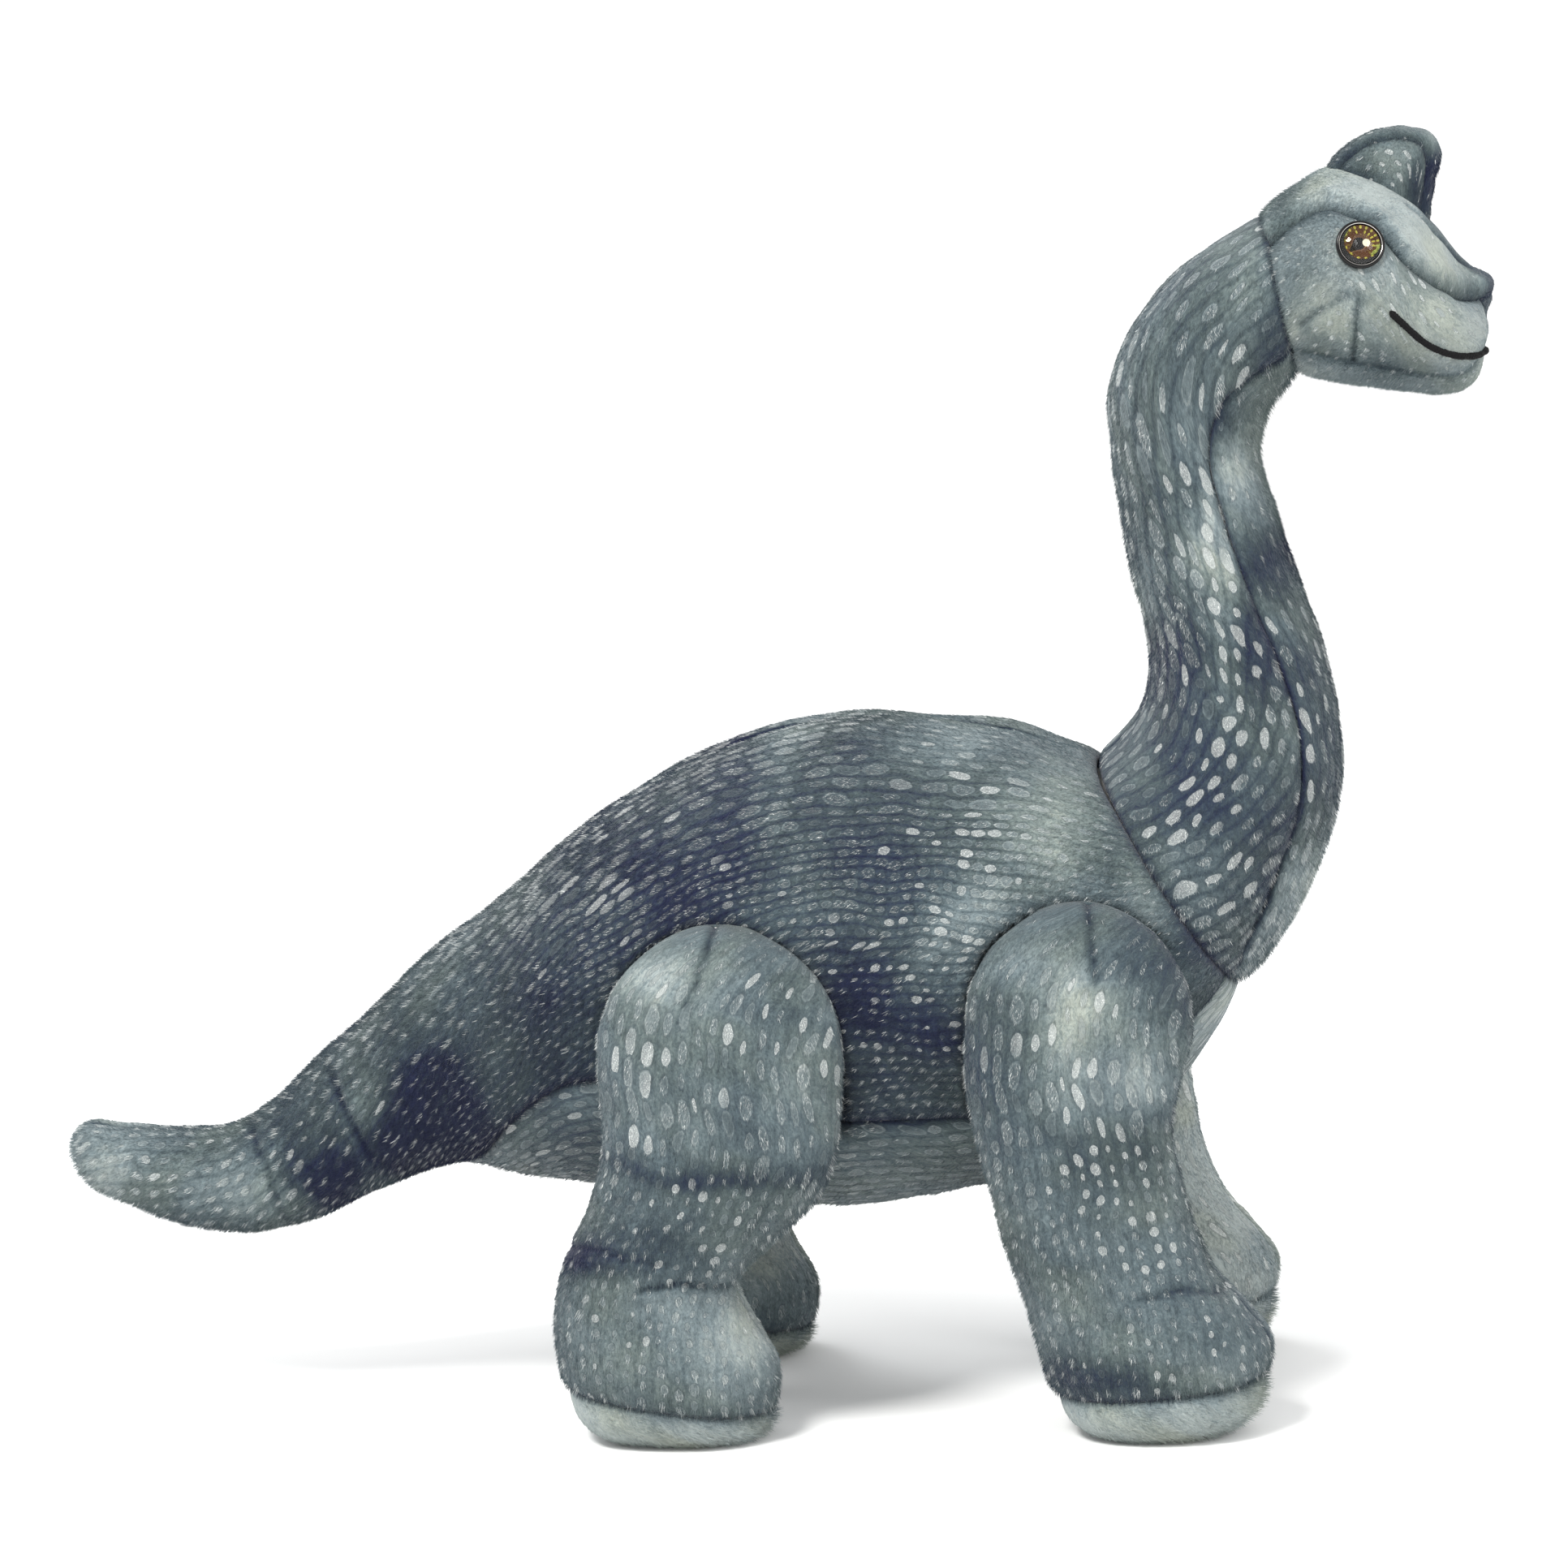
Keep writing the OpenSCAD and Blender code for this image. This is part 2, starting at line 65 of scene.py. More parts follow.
# The sewing pattern below is in millimetres. The frame's box says how large the toy really is.
PATTERN_LENGTH = 456
MM = (cad_box[1][0] - cad_box[0][0]) / PATTERN_LENGTH

# ---------------------------------------------------------------------------------------------------------
# The pattern. Each row is one cross-section of a stuffed tube: x and z of its first end, x and z of its
# second end, then y at its inner and its outer side. The first end is the top of the torso, tail and head,
# and the back of the neck and legs. Then come the angles from the first end at which the side panel stops:
# the belly or throat seam, or on the head the brow seam and the chin seam.
TORSO_ROWS = [
    [-104, 148, -97, 78, -36, 36, 160],
    [-86, 160.5, -82, 75, -44, 44, 122],
    [-66, 177.5, -64, 73, -51, 51, 107],
    [-40, 195, -41, 68.5, -57, 57, 107],
    [-12, 208, -14, 65, -60.5, 60.5, 112],
    [20, 216, 15, 64, -62, 62, 122],
    [48, 215.5, 47, 66.5, -62, 62, 125],
    [74, 212, 82, 74, -61, 61, 128],
    [91, 206.5, 119, 94, -58, 58, 135],
    [104, 201.5, 147, 131, -50, 50, 150],
]
TAIL_ROWS = [
    [-228.2, 84, -228.2, 83.4, -0.4, 0.4, 180],
    [-225.5, 89.5, -224.5, 74, -8.5, 8.5, 180],
    [-212, 89, -207, 64, -14.5, 14.5, 180],
    [-195, 87.5, -188, 58.5, -18, 18, 180],
    [-178, 88.5, -168, 57, -21, 21, 180],
    [-163, 96, -149, 61, -23.5, 23.5, 180],
    [-147, 110.5, -130, 69, -26.5, 26.5, 180],
    [-127, 128.5, -113, 75.5, -31, 31, 180],
]
NECK_ROWS = [
    [104, 201.5, 147, 131, -50, 50, 150],
    [112, 207.5, 165, 157, -44, 44, 137],
    [119, 218, 176.5, 187, -36.5, 36.5, 132],
    [121.5, 231, 178.5, 208, -31.5, 31.5, 127],
    [120, 245, 175, 228, -28, 28, 121],
    [116.5, 262, 169, 251, -26, 26, 113],
    [114, 281, 161.5, 275, -24.5, 24.5, 110],
    [112, 300, 156, 296, -23.5, 23.5, 111],
    [113, 321, 159, 310, -24.5, 24.5, 117],
    [120, 337, 163.5, 316.5, -26, 26, 130],
    [137, 354.5, 167, 320, -27.5, 27.5, 140],
    [160, 368, 169, 322, -28.5, 28.5, 138],
]
HEAD_ROWS = [
    [160, 368, 169, 322, -28.5, 28.5, 48.5, 138],
    [171, 375.5, 176, 319.5, -30.8, 30.8, 44, 140],
    [181, 380, 186, 317, -33, 33, 46, 142],
    [194, 377, 197, 315, -32, 32, 55.5, 142],
    [205, 370, 206, 313.5, -29, 29, 72.5, 140],
    [212, 362, 213, 312.5, -26, 26, 71, 138],
    [218, 353.5, 220, 313.5, -22, 22, 65.5, 136],
    [223.3, 347, 224, 317, -16, 16, 57, 134],
    [225.6, 341, 225.8, 322.5, -9, 9, 42, 132],
    [226.5, 333.5, 226.5, 330.5, -1, 1, 42, 132],
]
HIND_LEG_ROWS = [
    [-32, 0.3, -29, 0.3, 55.4, 56.6],
    [-43, 0.4, -18, 0.4, 46, 66],
    [-52, 2, -9, 1.4, 39, 73],
    [-59.5, 7.5, -3, 3.6, 34, 78.5],
    [-63.2, 17.5, 0, 8.2, 32, 80.5],
    [-64.8, 27, 2.4, 22.5, 31.5, 81],
    [-65.5, 39, -4.5, 37, 33, 79.5],
    [-63.5, 51, -9.5, 50, 35, 78.5],
    [-59.5, 62, 2, 62, 38, 79],
    [-53.5, 74, 15, 74, 43.5, 79.5],
    [-48.5, 88, 22.5, 88, 50.5, 80],
    [-47.5, 104, 26, 104, 50.5, 79.5],
    [-48.5, 122, 26.5, 122, 50.5, 77.5],
    [-46, 136, 24, 136, 50.5, 74.5],
    [-39, 148, 17, 148, 50.5, 70.5],
    [-28, 156.5, 6, 156.5, 52, 67],
    [-18, 160.2, -4, 160.2, 55.5, 64],
    [-12, 161, -10, 161, 59.3, 60.3],
]
FORE_LEG_ROWS = [
    [117.5, 0.3, 120.5, 0.3, 55.4, 56.6],
    [107, 0.4, 131, 0.4, 46, 66],
    [98, 2, 140, 2.5, 39, 73],
    [91.5, 6, 148.5, 8.5, 34, 78.5],
    [87.8, 13, 152.4, 17.5, 32, 80],
    [84.5, 26, 153.5, 28.5, 31.5, 80.5],
    [81.5, 38, 147, 39, 33, 79],
    [78, 50, 137, 51, 35, 77.5],
    [74, 62, 132, 63, 38, 77],
    [70.5, 78, 129, 78, 43.5, 77.5],
    [67, 94, 127, 94, 50.5, 78],
    [64, 110, 129.5, 110, 50.5, 78],
    [63.8, 127, 134.2, 127, 50.5, 76.5],
    [65.5, 140, 132.5, 140, 50.5, 74],
    [72, 152, 126, 152, 50.5, 70],
    [83, 160.5, 115, 160.5, 52, 66.5],
    [92, 164.2, 106, 164.2, 55.5, 64],
    [98, 165, 100, 165, 59.3, 60.3],
]
SOLE_ROW = 4  # the first rows of a leg, up to this one, are its sole

# Middle of each leg's round top, as x and z, and its radius
HIND_HIP = (-11, 123, 37.5)
FORE_HIP = (99, 129.5, 35.5)
POCKET_Y = 49  # how far out the flank's cloth lies behind a leg

# The crest's side seam, as x and z, from its back corner over the top to its front corner
CREST_SEAM = [
    [179.8, 376.8], [183.4, 382.5], [187.9, 386.6], [193.2, 389.4], [199, 390.7], [204.2, 390.6],
    [208.8, 388.6], [210.4, 384], [210, 378], [209.3, 372], [208.5, 366], [207.5, 361],
]
CREST_EDGE = [1.4, 2.6, 2.9, 3.0, 4.6, 2.3, 1.8, 1.8]  # how far the gusset stands out along that seam
CREST_HALF = 6.2  # from the crest's middle plane to its side seams
CREST_MIDDLE = (197.5, 373.5)

# Mouth line on one cheek, as x and z, from its corner to the middle of the snout
MOUTH_LINE = [
    [197.4, 340], [203, 334.2], [208, 329.3], [213, 326.4], [218, 324.7], [223, 324.2], [227, 324.6],
]

# Darts and creases inside panels: x and z seen from the side, or x and y seen from above, with their depth
CHEEK_CREASES = [
    ([[188.8, 344.3], [187.8, 334], [186.6, 322]], 1.3, "side"),
    ([[171.3, 336.4], [178, 341], [186.7, 345]], 0.9, "side"),
]
TOP_CREASES = [([[204, 11.5], [211, 11.5], [217, 9.5], [222, 6]], 2.0, "above")]
HIND_CREASES = [
    ([[-10, 164], [-14.5, 150], [-18.4, 138.7]], 1.4, "side"),
    ([[-11, 50], [-24, 54], [-36, 52]], 1.6, "side"),
    ([[-64, 61], [-50, 64], [-30, 60]], 0.9, "side"),
]
FORE_CREASES = [
    ([[102.4, 168], [105.4, 143.6]], 1.4, "side"),
    ([[140, 45], [127, 48], [115, 46]], 1.0, "side"),
]
BODY_CREASES = [
    ([[-140, 110], [-133, 96], [-127, 84]], 1.6, "side"),
    ([[-168, 92], [-161, 78], [-158, 62]], 1.0, "side"),
]

SEAM_DEPTH = 1.9  # how far a seam draws the cloth in
SEAM_REACH = 2.0  # how far beside the seam that is felt
PUCKER_REACH = 9
CLOTH = 1.5  # thickness
CREST_CLOTH = 0.9

# Tie-dye patches, as x, z, reach in x, reach in z, and tone: below 0 is darker, above 0 is lighter
DYE = {
    "body": [
        (-105, 100, 15, 16, -1.3), (-117, 86, 12, 10, -0.6), (-143, 75, 9, 13, -0.75),
        (-167, 74, 13, 14, 0.3), (-190, 74, 12, 14, 0.22), (-216, 80, 14, 20, 0.5),
        (-130, 100, 8, 12, 0.2), (-8, 190, 11, 20, -0.25), (-22, 172, 9, 16, -0.2),
        (-48, 178, 18, 12, -0.18), (34, 138, 13, 15, -0.36), (56, 126, 12, 11, -0.34),
        (24, 110, 22, 16, -0.12), (40, 180, 16, 12, -0.2), (68, 160, 13, 16, 0.3),
        (92, 186, 16, 24, 0.38), (62, 212, 20, 7, 0.3), (10, 212, 14, 8, 0.25), (120, 150, 9, 26, 0.35),
        (50, 152, 12, 12, 0.2), (-20, 152, 36, 34, -0.26), (-66, 140, 18, 18, -0.12),
        (-60, 120, 12, 22, -0.15), (8, 160, 12, 16, 0.12), (-84, 160, 16, 10, 0.05),
    ],
    "belly": [(60, 80, 30, 20, -0.1), (140, 130, 14, 14, 0.3), (-60, 90, 24, 12, -0.15)],
    "neck": [
        (137, 200, 16, 22, -0.28), (157, 175, 14, 20, -0.16), (126, 230, 10, 12, -0.2),
        (158, 236, 8, 20, -0.28), (143, 274, 7, 28, 0.5), (126, 278, 8, 20, -0.02),
        (117, 300, 9, 16, 0.1), (140, 322, 20, 12, 0.02), (155, 345, 12, 20, 0.15),
        (148, 232, 6, 20, 0.2), (164, 330, 5, 10, -0.3), (118, 192, 10, 10, -0.1),
        (166, 208, 8, 16, 0.2), (120, 250, 8, 12, 0.15),
    ],
    "throat": [
        (161, 331, 10, 7, -0.6), (145, 311, 10, 7, -0.25), (153, 291, 9, 12, 0.35),
        (163, 262, 7, 9, -0.45), (168, 232, 14, 18, -0.22), (170, 196, 18, 24, -0.28),
        (160, 250, 6, 6, 0.15), (165, 160, 12, 18, 0.25),
    ],
    "head": [
        (214, 335, 12, 12, 0.22), (182, 340, 14, 12, 0.12), (172, 352, 8, 10, -0.08),
        (188, 366, 9, 6, 0.1), (196, 324, 12, 8, -0.18), (178, 372, 10, 4, -0.18),
        (168, 330, 6, 6, 0.15),
    ],
    "top": [
        (208, 362, 10, 12, 0.3), (186, 376, 12, 8, 0.2), (224, 346, 6, 6, -0.1), (168, 372, 8, 8, -0.2),
    ],
    "crest": [(187, 377, 8, 5, -0.35), (209, 374, 2.5, 13, -0.4), (203, 384, 9, 6, 0.2)],
    "crest_edge": [(183, 384, 8, 6, -0.25), (212, 374, 6, 9, -0.6), (214, 388, 6, 5, 0.3)],
    "hind_leg": [
        (-22, 146, 20, 16, 0.3), (-8, 118, 12, 26, 0.1), (-15, 89, 34, 3.5, -0.35),
        (-56, 62, 14, 6, -0.6), (-36, 68, 12, 8, -0.1), (-8, 36, 14, 16, 0.45), (-48, 30, 16, 16, 0.05),
        (-38, 118, 10, 20, -0.08), (10, 112, 9, 14, 0.15), (-30, 48, 14, 8, 0.1),
    ],
    "fore_leg": [
        (120, 148, 11, 11, -0.12), (128, 132, 6, 12, -0.15), (96, 130, 15, 24, 0.35),
        (122, 116, 12, 10, 0.35), (74, 120, 8, 24, -0.3), (100, 60, 16, 16, 0.02),
        (98, 22, 18, 6, -0.35), (128, 30, 14, 8, 0.1), (102, 92, 18, 14, -0.14), (142, 20, 12, 8, 0.2),
        (80, 84, 8, 16, 0.05), (108, 42, 16, 8, 0.12), (128, 84, 6, 12, 0.15),
    ],
    "sole": [(-30, 5, 60, 14, 0.4), (120, 5, 60, 14, 0.3)],
}
# Where the foil spots get painted highlights, as x, z, reach in x, reach in z, and share of the spots that
# get one
PAINTED_GLINTS = {
    "body": [
        (58, 150, 16, 22, 0.55), (70, 186, 12, 12, 0.5), (-150, 96, 10, 10, 0.9),
        (-60, 192, 26, 12, 0.6), (-190, 80, 20, 8, 0.3), (-95, 120, 20, 10, 0.35),
        (10, 150, 30, 14, 0.3), (20, 115, 24, 10, 0.35),
    ],
    "neck": [
        (140, 205, 14, 24, 0.9), (150, 235, 10, 24, 0.95), (128, 310, 14, 24, 0.55),
        (148, 260, 8, 20, 0.6), (140, 168, 16, 16, 0.7), (155, 330, 8, 16, 0.5),
    ],
    "throat": [(168, 222, 12, 30, 0.6)],
    "head": [(208, 342, 12, 12, 1.0), (193, 352, 8, 8, 0.6)],
    "top": [(212, 362, 8, 8, 0.4)],
    "crest": [(203, 378, 10, 14, 1.0)],
    "crest_edge": [(195, 386, 16, 8, 0.6)],
    "hind_leg": [
        (10, 128, 12, 16, 0.9), (-28, 100, 9, 26, 0.8), (-44, 36, 14, 18, 0.5), (-20, 60, 10, 8, 0.5),
        (-5, 76, 12, 10, 0.4),
    ],
    "fore_leg": [
        (100, 118, 12, 26, 1.0), (110, 78, 12, 26, 1.0), (134, 36, 12, 14, 0.7), (118, 20, 16, 8, 0.5),
    ],
}
# The far front leg is paler than the near one
FAR_FORE_LEG = [(105, 80, 60, 90, 0.35), (132, 44, 20, 24, 0.3)]
BASE_TONE = {
    "body": 0.44, "belly": 0.62, "neck": 0.49, "throat": 0.64, "head": 0.84, "top": 0.83, "crest": 0.60,
    "crest_edge": 0.62, "hind_leg": 0.56, "fore_leg": 0.55, "sole": 0.78,
}


# ---------------------------------------------------------------------------------------------------------
# Small tools
def smoothstep(low, high, value):
    share = np.clip((value - low) / (high - low), 0, 1)
    return share * share * (3 - 2 * share)


def noise(points, size, seed):
    """Smooth noise between -1 and 1 at each point, with lumps of about this size."""
    cells = 32
    table = np.random.default_rng(seed).uniform(-1, 1, (cells, cells, cells))
    scaled = np.asarray(points, float) / size
    low = np.floor(scaled).astype(int)
    part = scaled - low
    part = part * part * (3 - 2 * part)
    total = 0
    for i, j, k in np.ndindex(2, 2, 2):
        weight = np.abs(1 - i - part[..., 0]) * np.abs(1 - j - part[..., 1]) * np.abs(1 - k - part[..., 2])
        cell = (low + (i, j, k)) % cells
        total = total + weight * table[cell[..., 0], cell[..., 1], cell[..., 2]]
    return total


def distances_along(points):
    """How far along a line of points each of them lies."""
    return np.r_[0, np.cumsum(np.linalg.norm(np.diff(points, axis=0), axis=1))]


def unit(vectors):
    return vectors / np.linalg.norm(vectors, axis=1)[:, None]


def distance_to_line(x, z, line):
    """Distance in side view from each point to a line of x and z points."""
    best = np.full(np.shape(x), 1e9)
    for (x0, z0), (x1, z1) in zip(line[:-1], line[1:]):
        dx, dz = x1 - x0, z1 - z0
        share = np.clip(((x - x0) * dx + (z - z0) * dz) / (dx * dx + dz * dz), 0, 1)
        best = np.minimum(best, np.hypot(x - x0 - share * dx, z - z0 - share * dz))
    return best


def crease_distance(points, line, view):
    """Distance from each point to a crease that is drawn from the side or, on both halves, from above."""
    second = points[..., 2] if view == "side" else np.abs(points[..., 1])
    return distance_to_line(points[..., 0], second, line)


def curve_through(points, count):
    """A smooth curve through points, with count points on it, evenly spaced."""
    points = np.asarray(points, float)
    steps = distances_along(points)
    slopes = np.gradient(points, steps, axis=0)
    return hermite(steps, points, slopes, np.linspace(0, steps[-1], count))


def hermite(knots, values, slopes, at):
    at = np.asarray(at, float)
    i = np.clip(np.searchsorted(knots, at, side="right") - 1, 0, len(knots) - 2)
    width = knots[i + 1] - knots[i]
    t = (at - knots[i]) / width
    t, width = t[..., None], width[..., None]
    return (
        (2 * t**3 - 3 * t**2 + 1) * values[i] + (t**3 - 2 * t**2 + t) * width * slopes[i]
        + (3 * t**2 - 2 * t**3) * values[i + 1] + (t**3 - t**2) * width * slopes[i + 1]
    )


class Tube:
    """A stuffed tube that runs smoothly through the pattern's rows."""

    fullness = 0.92

    def __init__(self, rows):
        self.rows = np.array(rows, float)
        first, second = np.diff(self.rows[:, 0:2], axis=0), np.diff(self.rows[:, 2:4], axis=0)
        steps = (np.linalg.norm(first, axis=1) + np.linalg.norm(second, axis=1)) / 2
        self.place = np.r_[0, np.cumsum(steps)]
        self.slopes = np.gradient(self.rows, self.place, axis=0)
        self.length = self.place[-1]

    def row_at(self, place):
        return hermite(self.place, self.rows, self.slopes, place)

    def surface(self, place, angle, inset=0.0):
        """Points at these places along the tube and at these angles in degrees round it."""
        row = self.row_at(place)
        middle_x, middle_z = (row[..., 0] + row[..., 2]) / 2, (row[..., 1] + row[..., 3]) / 2
        arm_x, arm_z = (row[..., 0] - row[..., 2]) / 2, (row[..., 1] - row[..., 3]) / 2
        reach = np.hypot(arm_x, arm_z)
        shrink = np.maximum(reach - inset, 0.3) / reach
        half = np.maximum((row[..., 5] - row[..., 4]) / 2 - inset, 0.3)
        cos, sin = np.cos(np.radians(angle)), np.sin(np.radians(angle))
        up = np.sign(cos) * np.abs(cos) ** self.fullness * shrink
        out = (row[..., 4] + row[..., 5]) / 2 + half * np.sign(sin) * np.abs(sin) ** self.fullness
        return np.stack([middle_x + arm_x * up, -out, middle_z + arm_z * up], axis=-1)


def grid_normals(points):
    across = np.cross(np.gradient(points, axis=0), np.gradient(points, axis=1))
    return across / np.maximum(np.linalg.norm(across, axis=-1, keepdims=True), 1e-9)


def run_length(points, axis):
    """Distance along a grid from its first edge, for each grid point."""
    total = np.cumsum(np.linalg.norm(np.diff(points, axis=axis), axis=-1), axis=axis)
    pad = [(0, 0), (0, 0)]
    pad[axis] = (1, 0)
    return np.pad(total, pad)


def leg_overlap(x, z, tube, hip):
    """How far inside a leg's side view each point lies: below 0 is outside."""
    round_top = hip[2] - np.hypot(x - hip[0], z - hip[1])
    heights = (tube.rows[:, 1] + tube.rows[:, 3]) / 2
    back, front = np.interp(z, heights, tube.rows[:, 0]), np.interp(z, heights, tube.rows[:, 2])
    return np.where(z > hip[1], round_top, np.minimum(x - back, front - x))


torso = Tube(TORSO_ROWS)
tail = Tube(TAIL_ROWS)
neck = Tube(NECK_ROWS)
head = Tube(HEAD_ROWS)
hind_leg = Tube(HIND_LEG_ROWS)
fore_leg = Tube(FORE_LEG_ROWS)
# The body's side panels run in one piece from the tip of the tail to the neck
body = Tube(TAIL_ROWS + TORSO_ROWS)


def press_by_legs(points, depth=0.0):
    """The flanks lie flat behind the legs, with a little more room lower down, where a leg swings."""
    for tube, hip in ((hind_leg, HIND_HIP), (fore_leg, FORE_HIP)):
        inside = leg_overlap(points[..., 0], points[..., 2], tube, hip)
        room = 0.6 + 0.09 * np.maximum(hip[1] - points[..., 2], 0)
        share = smoothstep(-room, 3.2 - room, inside)
        side = np.abs(points[..., 1])
        pressed = np.minimum(side, POCKET_Y - depth)
        points[..., 1] = np.sign(points[..., 1]) * (side + (pressed - side) * share)
    return points


# ---------------------------------------------------------------------------------------------------------
# Meshes
def link_object(name, data):
    made = bpy.data.objects.new(name, data)
    bpy.context.scene.collection.objects.link(made)
    return made


def make_piece(name, vertices, faces):
    """A smooth piece, from points in millimetres."""
    mesh = bpy.data.meshes.new(name)
    mesh.from_pydata((np.asarray(vertices, float) * MM).tolist(), [], faces)
    mesh.update()
    mesh.polygons.foreach_set("use_smooth", [True] * len(mesh.polygons))
    return link_object(name, mesh)


def set_corners(mesh, layer, field, values):
    """Gives each corner of each face the values of the point it lies on."""
    corners = np.empty(len(mesh.loops), int)
    mesh.loops.foreach_get("vertex_index", corners)
    layer.data.foreach_set(field, values[corners].ravel())


def lay_cloth(piece, places):
    """Gives each point of a piece its place on the cloth."""
    layer = piece.data.uv_layers.new(name="cloth")
    set_corners(piece.data, layer, "uv", places.reshape(-1, 2))


def face_outwards(piece):
    """Turns a closed piece so that its faces look outwards."""
    volume = 0.0
    for polygon in piece.data.polygons:
        volume += polygon.area * polygon.normal.dot(polygon.center)
    if volume < 0:
        piece.data.flip_normals()
    return piece


def shell_from_grid(name, outer, inner, dye_and_painted_light, cloth_uv):
    """A closed shell of cloth between two grids of points. Its colour values hold the tone, the size of the
    foil spots, painted shade along seams and creases and the share of spots with painted glints at each
    point, and cloth_uv its place on the cloth in millimetres."""
    nu, nv = outer.shape[:2]
    index = np.arange(nu * nv).reshape(nu, nv)
    a, b, c, d = index[:-1, :-1], index[1:, :-1], index[1:, 1:], index[:-1, 1:]
    outside = np.stack([a, d, c, b], axis=-1).reshape(-1, 4)
    inside = np.stack([a, b, c, d], axis=-1).reshape(-1, 4) + nu * nv
    rims = []
    for edge in (index[:, 0], index[::-1, -1], index[-1], index[0, ::-1]):
        below = edge + nu * nv
        rims.append(np.stack([edge[:-1], edge[1:], below[1:], below[:-1]], axis=-1))
    faces = np.concatenate([outside, inside] + rims).tolist()
    piece = make_piece(name, np.concatenate([outer.reshape(-1, 3), inner.reshape(-1, 3)]), faces)
    lay_cloth(piece, np.stack([cloth_uv] * 2))
    colour = piece.data.color_attributes.new("dye_and_painted_light", "BYTE_COLOR", "CORNER")
    set_corners(piece.data, colour, "color", np.stack([dye_and_painted_light] * 2).reshape(-1, 4))

    # The pile is thinner and shorter where the foil spots are large
    group = piece.vertex_groups.new(name="pile")
    bare = np.round(5 * np.clip(0.75 * dye_and_painted_light[..., 1].ravel(), 0, 1)).astype(int)
    for level in range(6):
        group.add(np.flatnonzero(bare == level).tolist(), 1 - 0.12 * level, "REPLACE")
    return face_outwards(piece)


def solid_from_rings(name, rings):
    """A closed piece through rings of points, with a lid at each end."""
    count, sides = rings.shape[:2]
    faces = []
    for i in range(count - 1):
        low, high = i * sides, (i + 1) * sides
        for k in range(sides):
            after = (k + 1) % sides
            faces.append((low + k, low + after, high + after, high + k))
    faces += [tuple(range(sides))[::-1], tuple((count - 1) * sides + k for k in range(sides))]
    return face_outwards(make_piece(name, rings.reshape(-1, 3), faces))


# ---------------------------------------------------------------------------------------------------------
# Dye and foil, as values at points
def patches(x, z, rows):
    """The sum of soft patches, each given by its x, z, reach in x, reach in z, and strength."""
    total = np.zeros(np.shape(x))
    for px, pz, rx, rz, amount in rows:
        total = total + amount * np.exp(-(((x - px) / rx) ** 2) - ((z - pz) / rz) ** 2)
    return total


def tone_at(points, region, seed, extra=()):
    """How light the dyed tone is at each point, from 0 to 1."""
    tone = BASE_TONE[region] + 0.10 * noise(points, 34, seed) + 0.07 * noise(points, 15, seed + 1)
    x = points[..., 0] + 6 * noise(points, 22, seed + 2)
    z = points[..., 2] + 6 * noise(points, 22, seed + 3)
    tone = tone + patches(x, z, [*DYE[region], *extra])
    if region == "top":
        # Between the pale brows the snout's top is darker
        tone = tone - 0.4 * smoothstep(12, 9, np.abs(points[..., 1])) * smoothstep(203, 209, points[..., 0])
    return np.clip(tone, 0.02, 0.98)


def painted_glint_at(points, region):
    """How many of the foil spots get a painted glint at each point, from 0 to 1."""
    amount = patches(points[..., 0], points[..., 2], PAINTED_GLINTS.get(region, ()))
    return np.clip(amount + 0.25 * noise(points, 14, 77), 0, 1)


def spot_size_at(points, region, seed):
    """How large the foil spots are at each point, as a share of the largest."""
    x, z = points[..., 0], points[..., 2]
    if region == "body":
        size = 0.62 + 0.38 * smoothstep(128, 160, z) - 0.5 * smoothstep(198, 212, z) * smoothstep(10, 40, x)
        size = size - 0.5 * smoothstep(68, 96, x) + 0.05 * smoothstep(-90, -130, x)
    elif region in ("neck", "throat"):
        size = 0.9 - 0.2 * smoothstep(300, 360, z)
        if region == "throat":
            size = size - 0.1 - 0.35 * smoothstep(230, 280, z)
    elif region == "head":
        size = 0.55 + patches(x, z, [(205, 344, 15, 13, 0.6)])
    elif region in ("hind_leg", "fore_leg"):
        size = 0.66 + 0.30 * smoothstep(60, 110, z) - 0.55 * smoothstep(138, 162, z)
    else:
        size = {"top": 0.35, "crest": 0.95, "crest_edge": 0.6, "sole": 0.0, "belly": 0.85}[region]
    return np.clip(size + 0.16 * noise(points, 26, seed + 7), 0.04, 1)


# ---------------------------------------------------------------------------------------------------------
# Sewing
def panel_grid(tube, angles, span, pitch):
    """Points over a panel between its two edge angles, closer together at its seams."""
    middle = tube.surface(np.linspace(span[0], span[1], 60) * tube.length, 90)
    nu = max(int(np.linalg.norm(np.diff(middle, axis=0), axis=1).sum() / pitch), 8)
    places = np.linspace(span[0], span[1], nu) * tube.length
    first, last = angles(tube.row_at(places))
    widest = tube.surface(np.full(40, places[nu // 2]), np.linspace(first[nu // 2], last[nu // 2], 40))
    nv = max(int(np.linalg.norm(np.diff(widest, axis=0), axis=1).sum() / pitch), 8)
    share = np.linspace(0, 1, nv)
    share = 0.45 * share + 0.55 * (0.5 - 0.5 * np.cos(np.pi * share))
    angle = first[:, None] + (last - first)[:, None] * share[None, :]
    return tube.surface(np.repeat(places[:, None], nv, axis=1), angle)


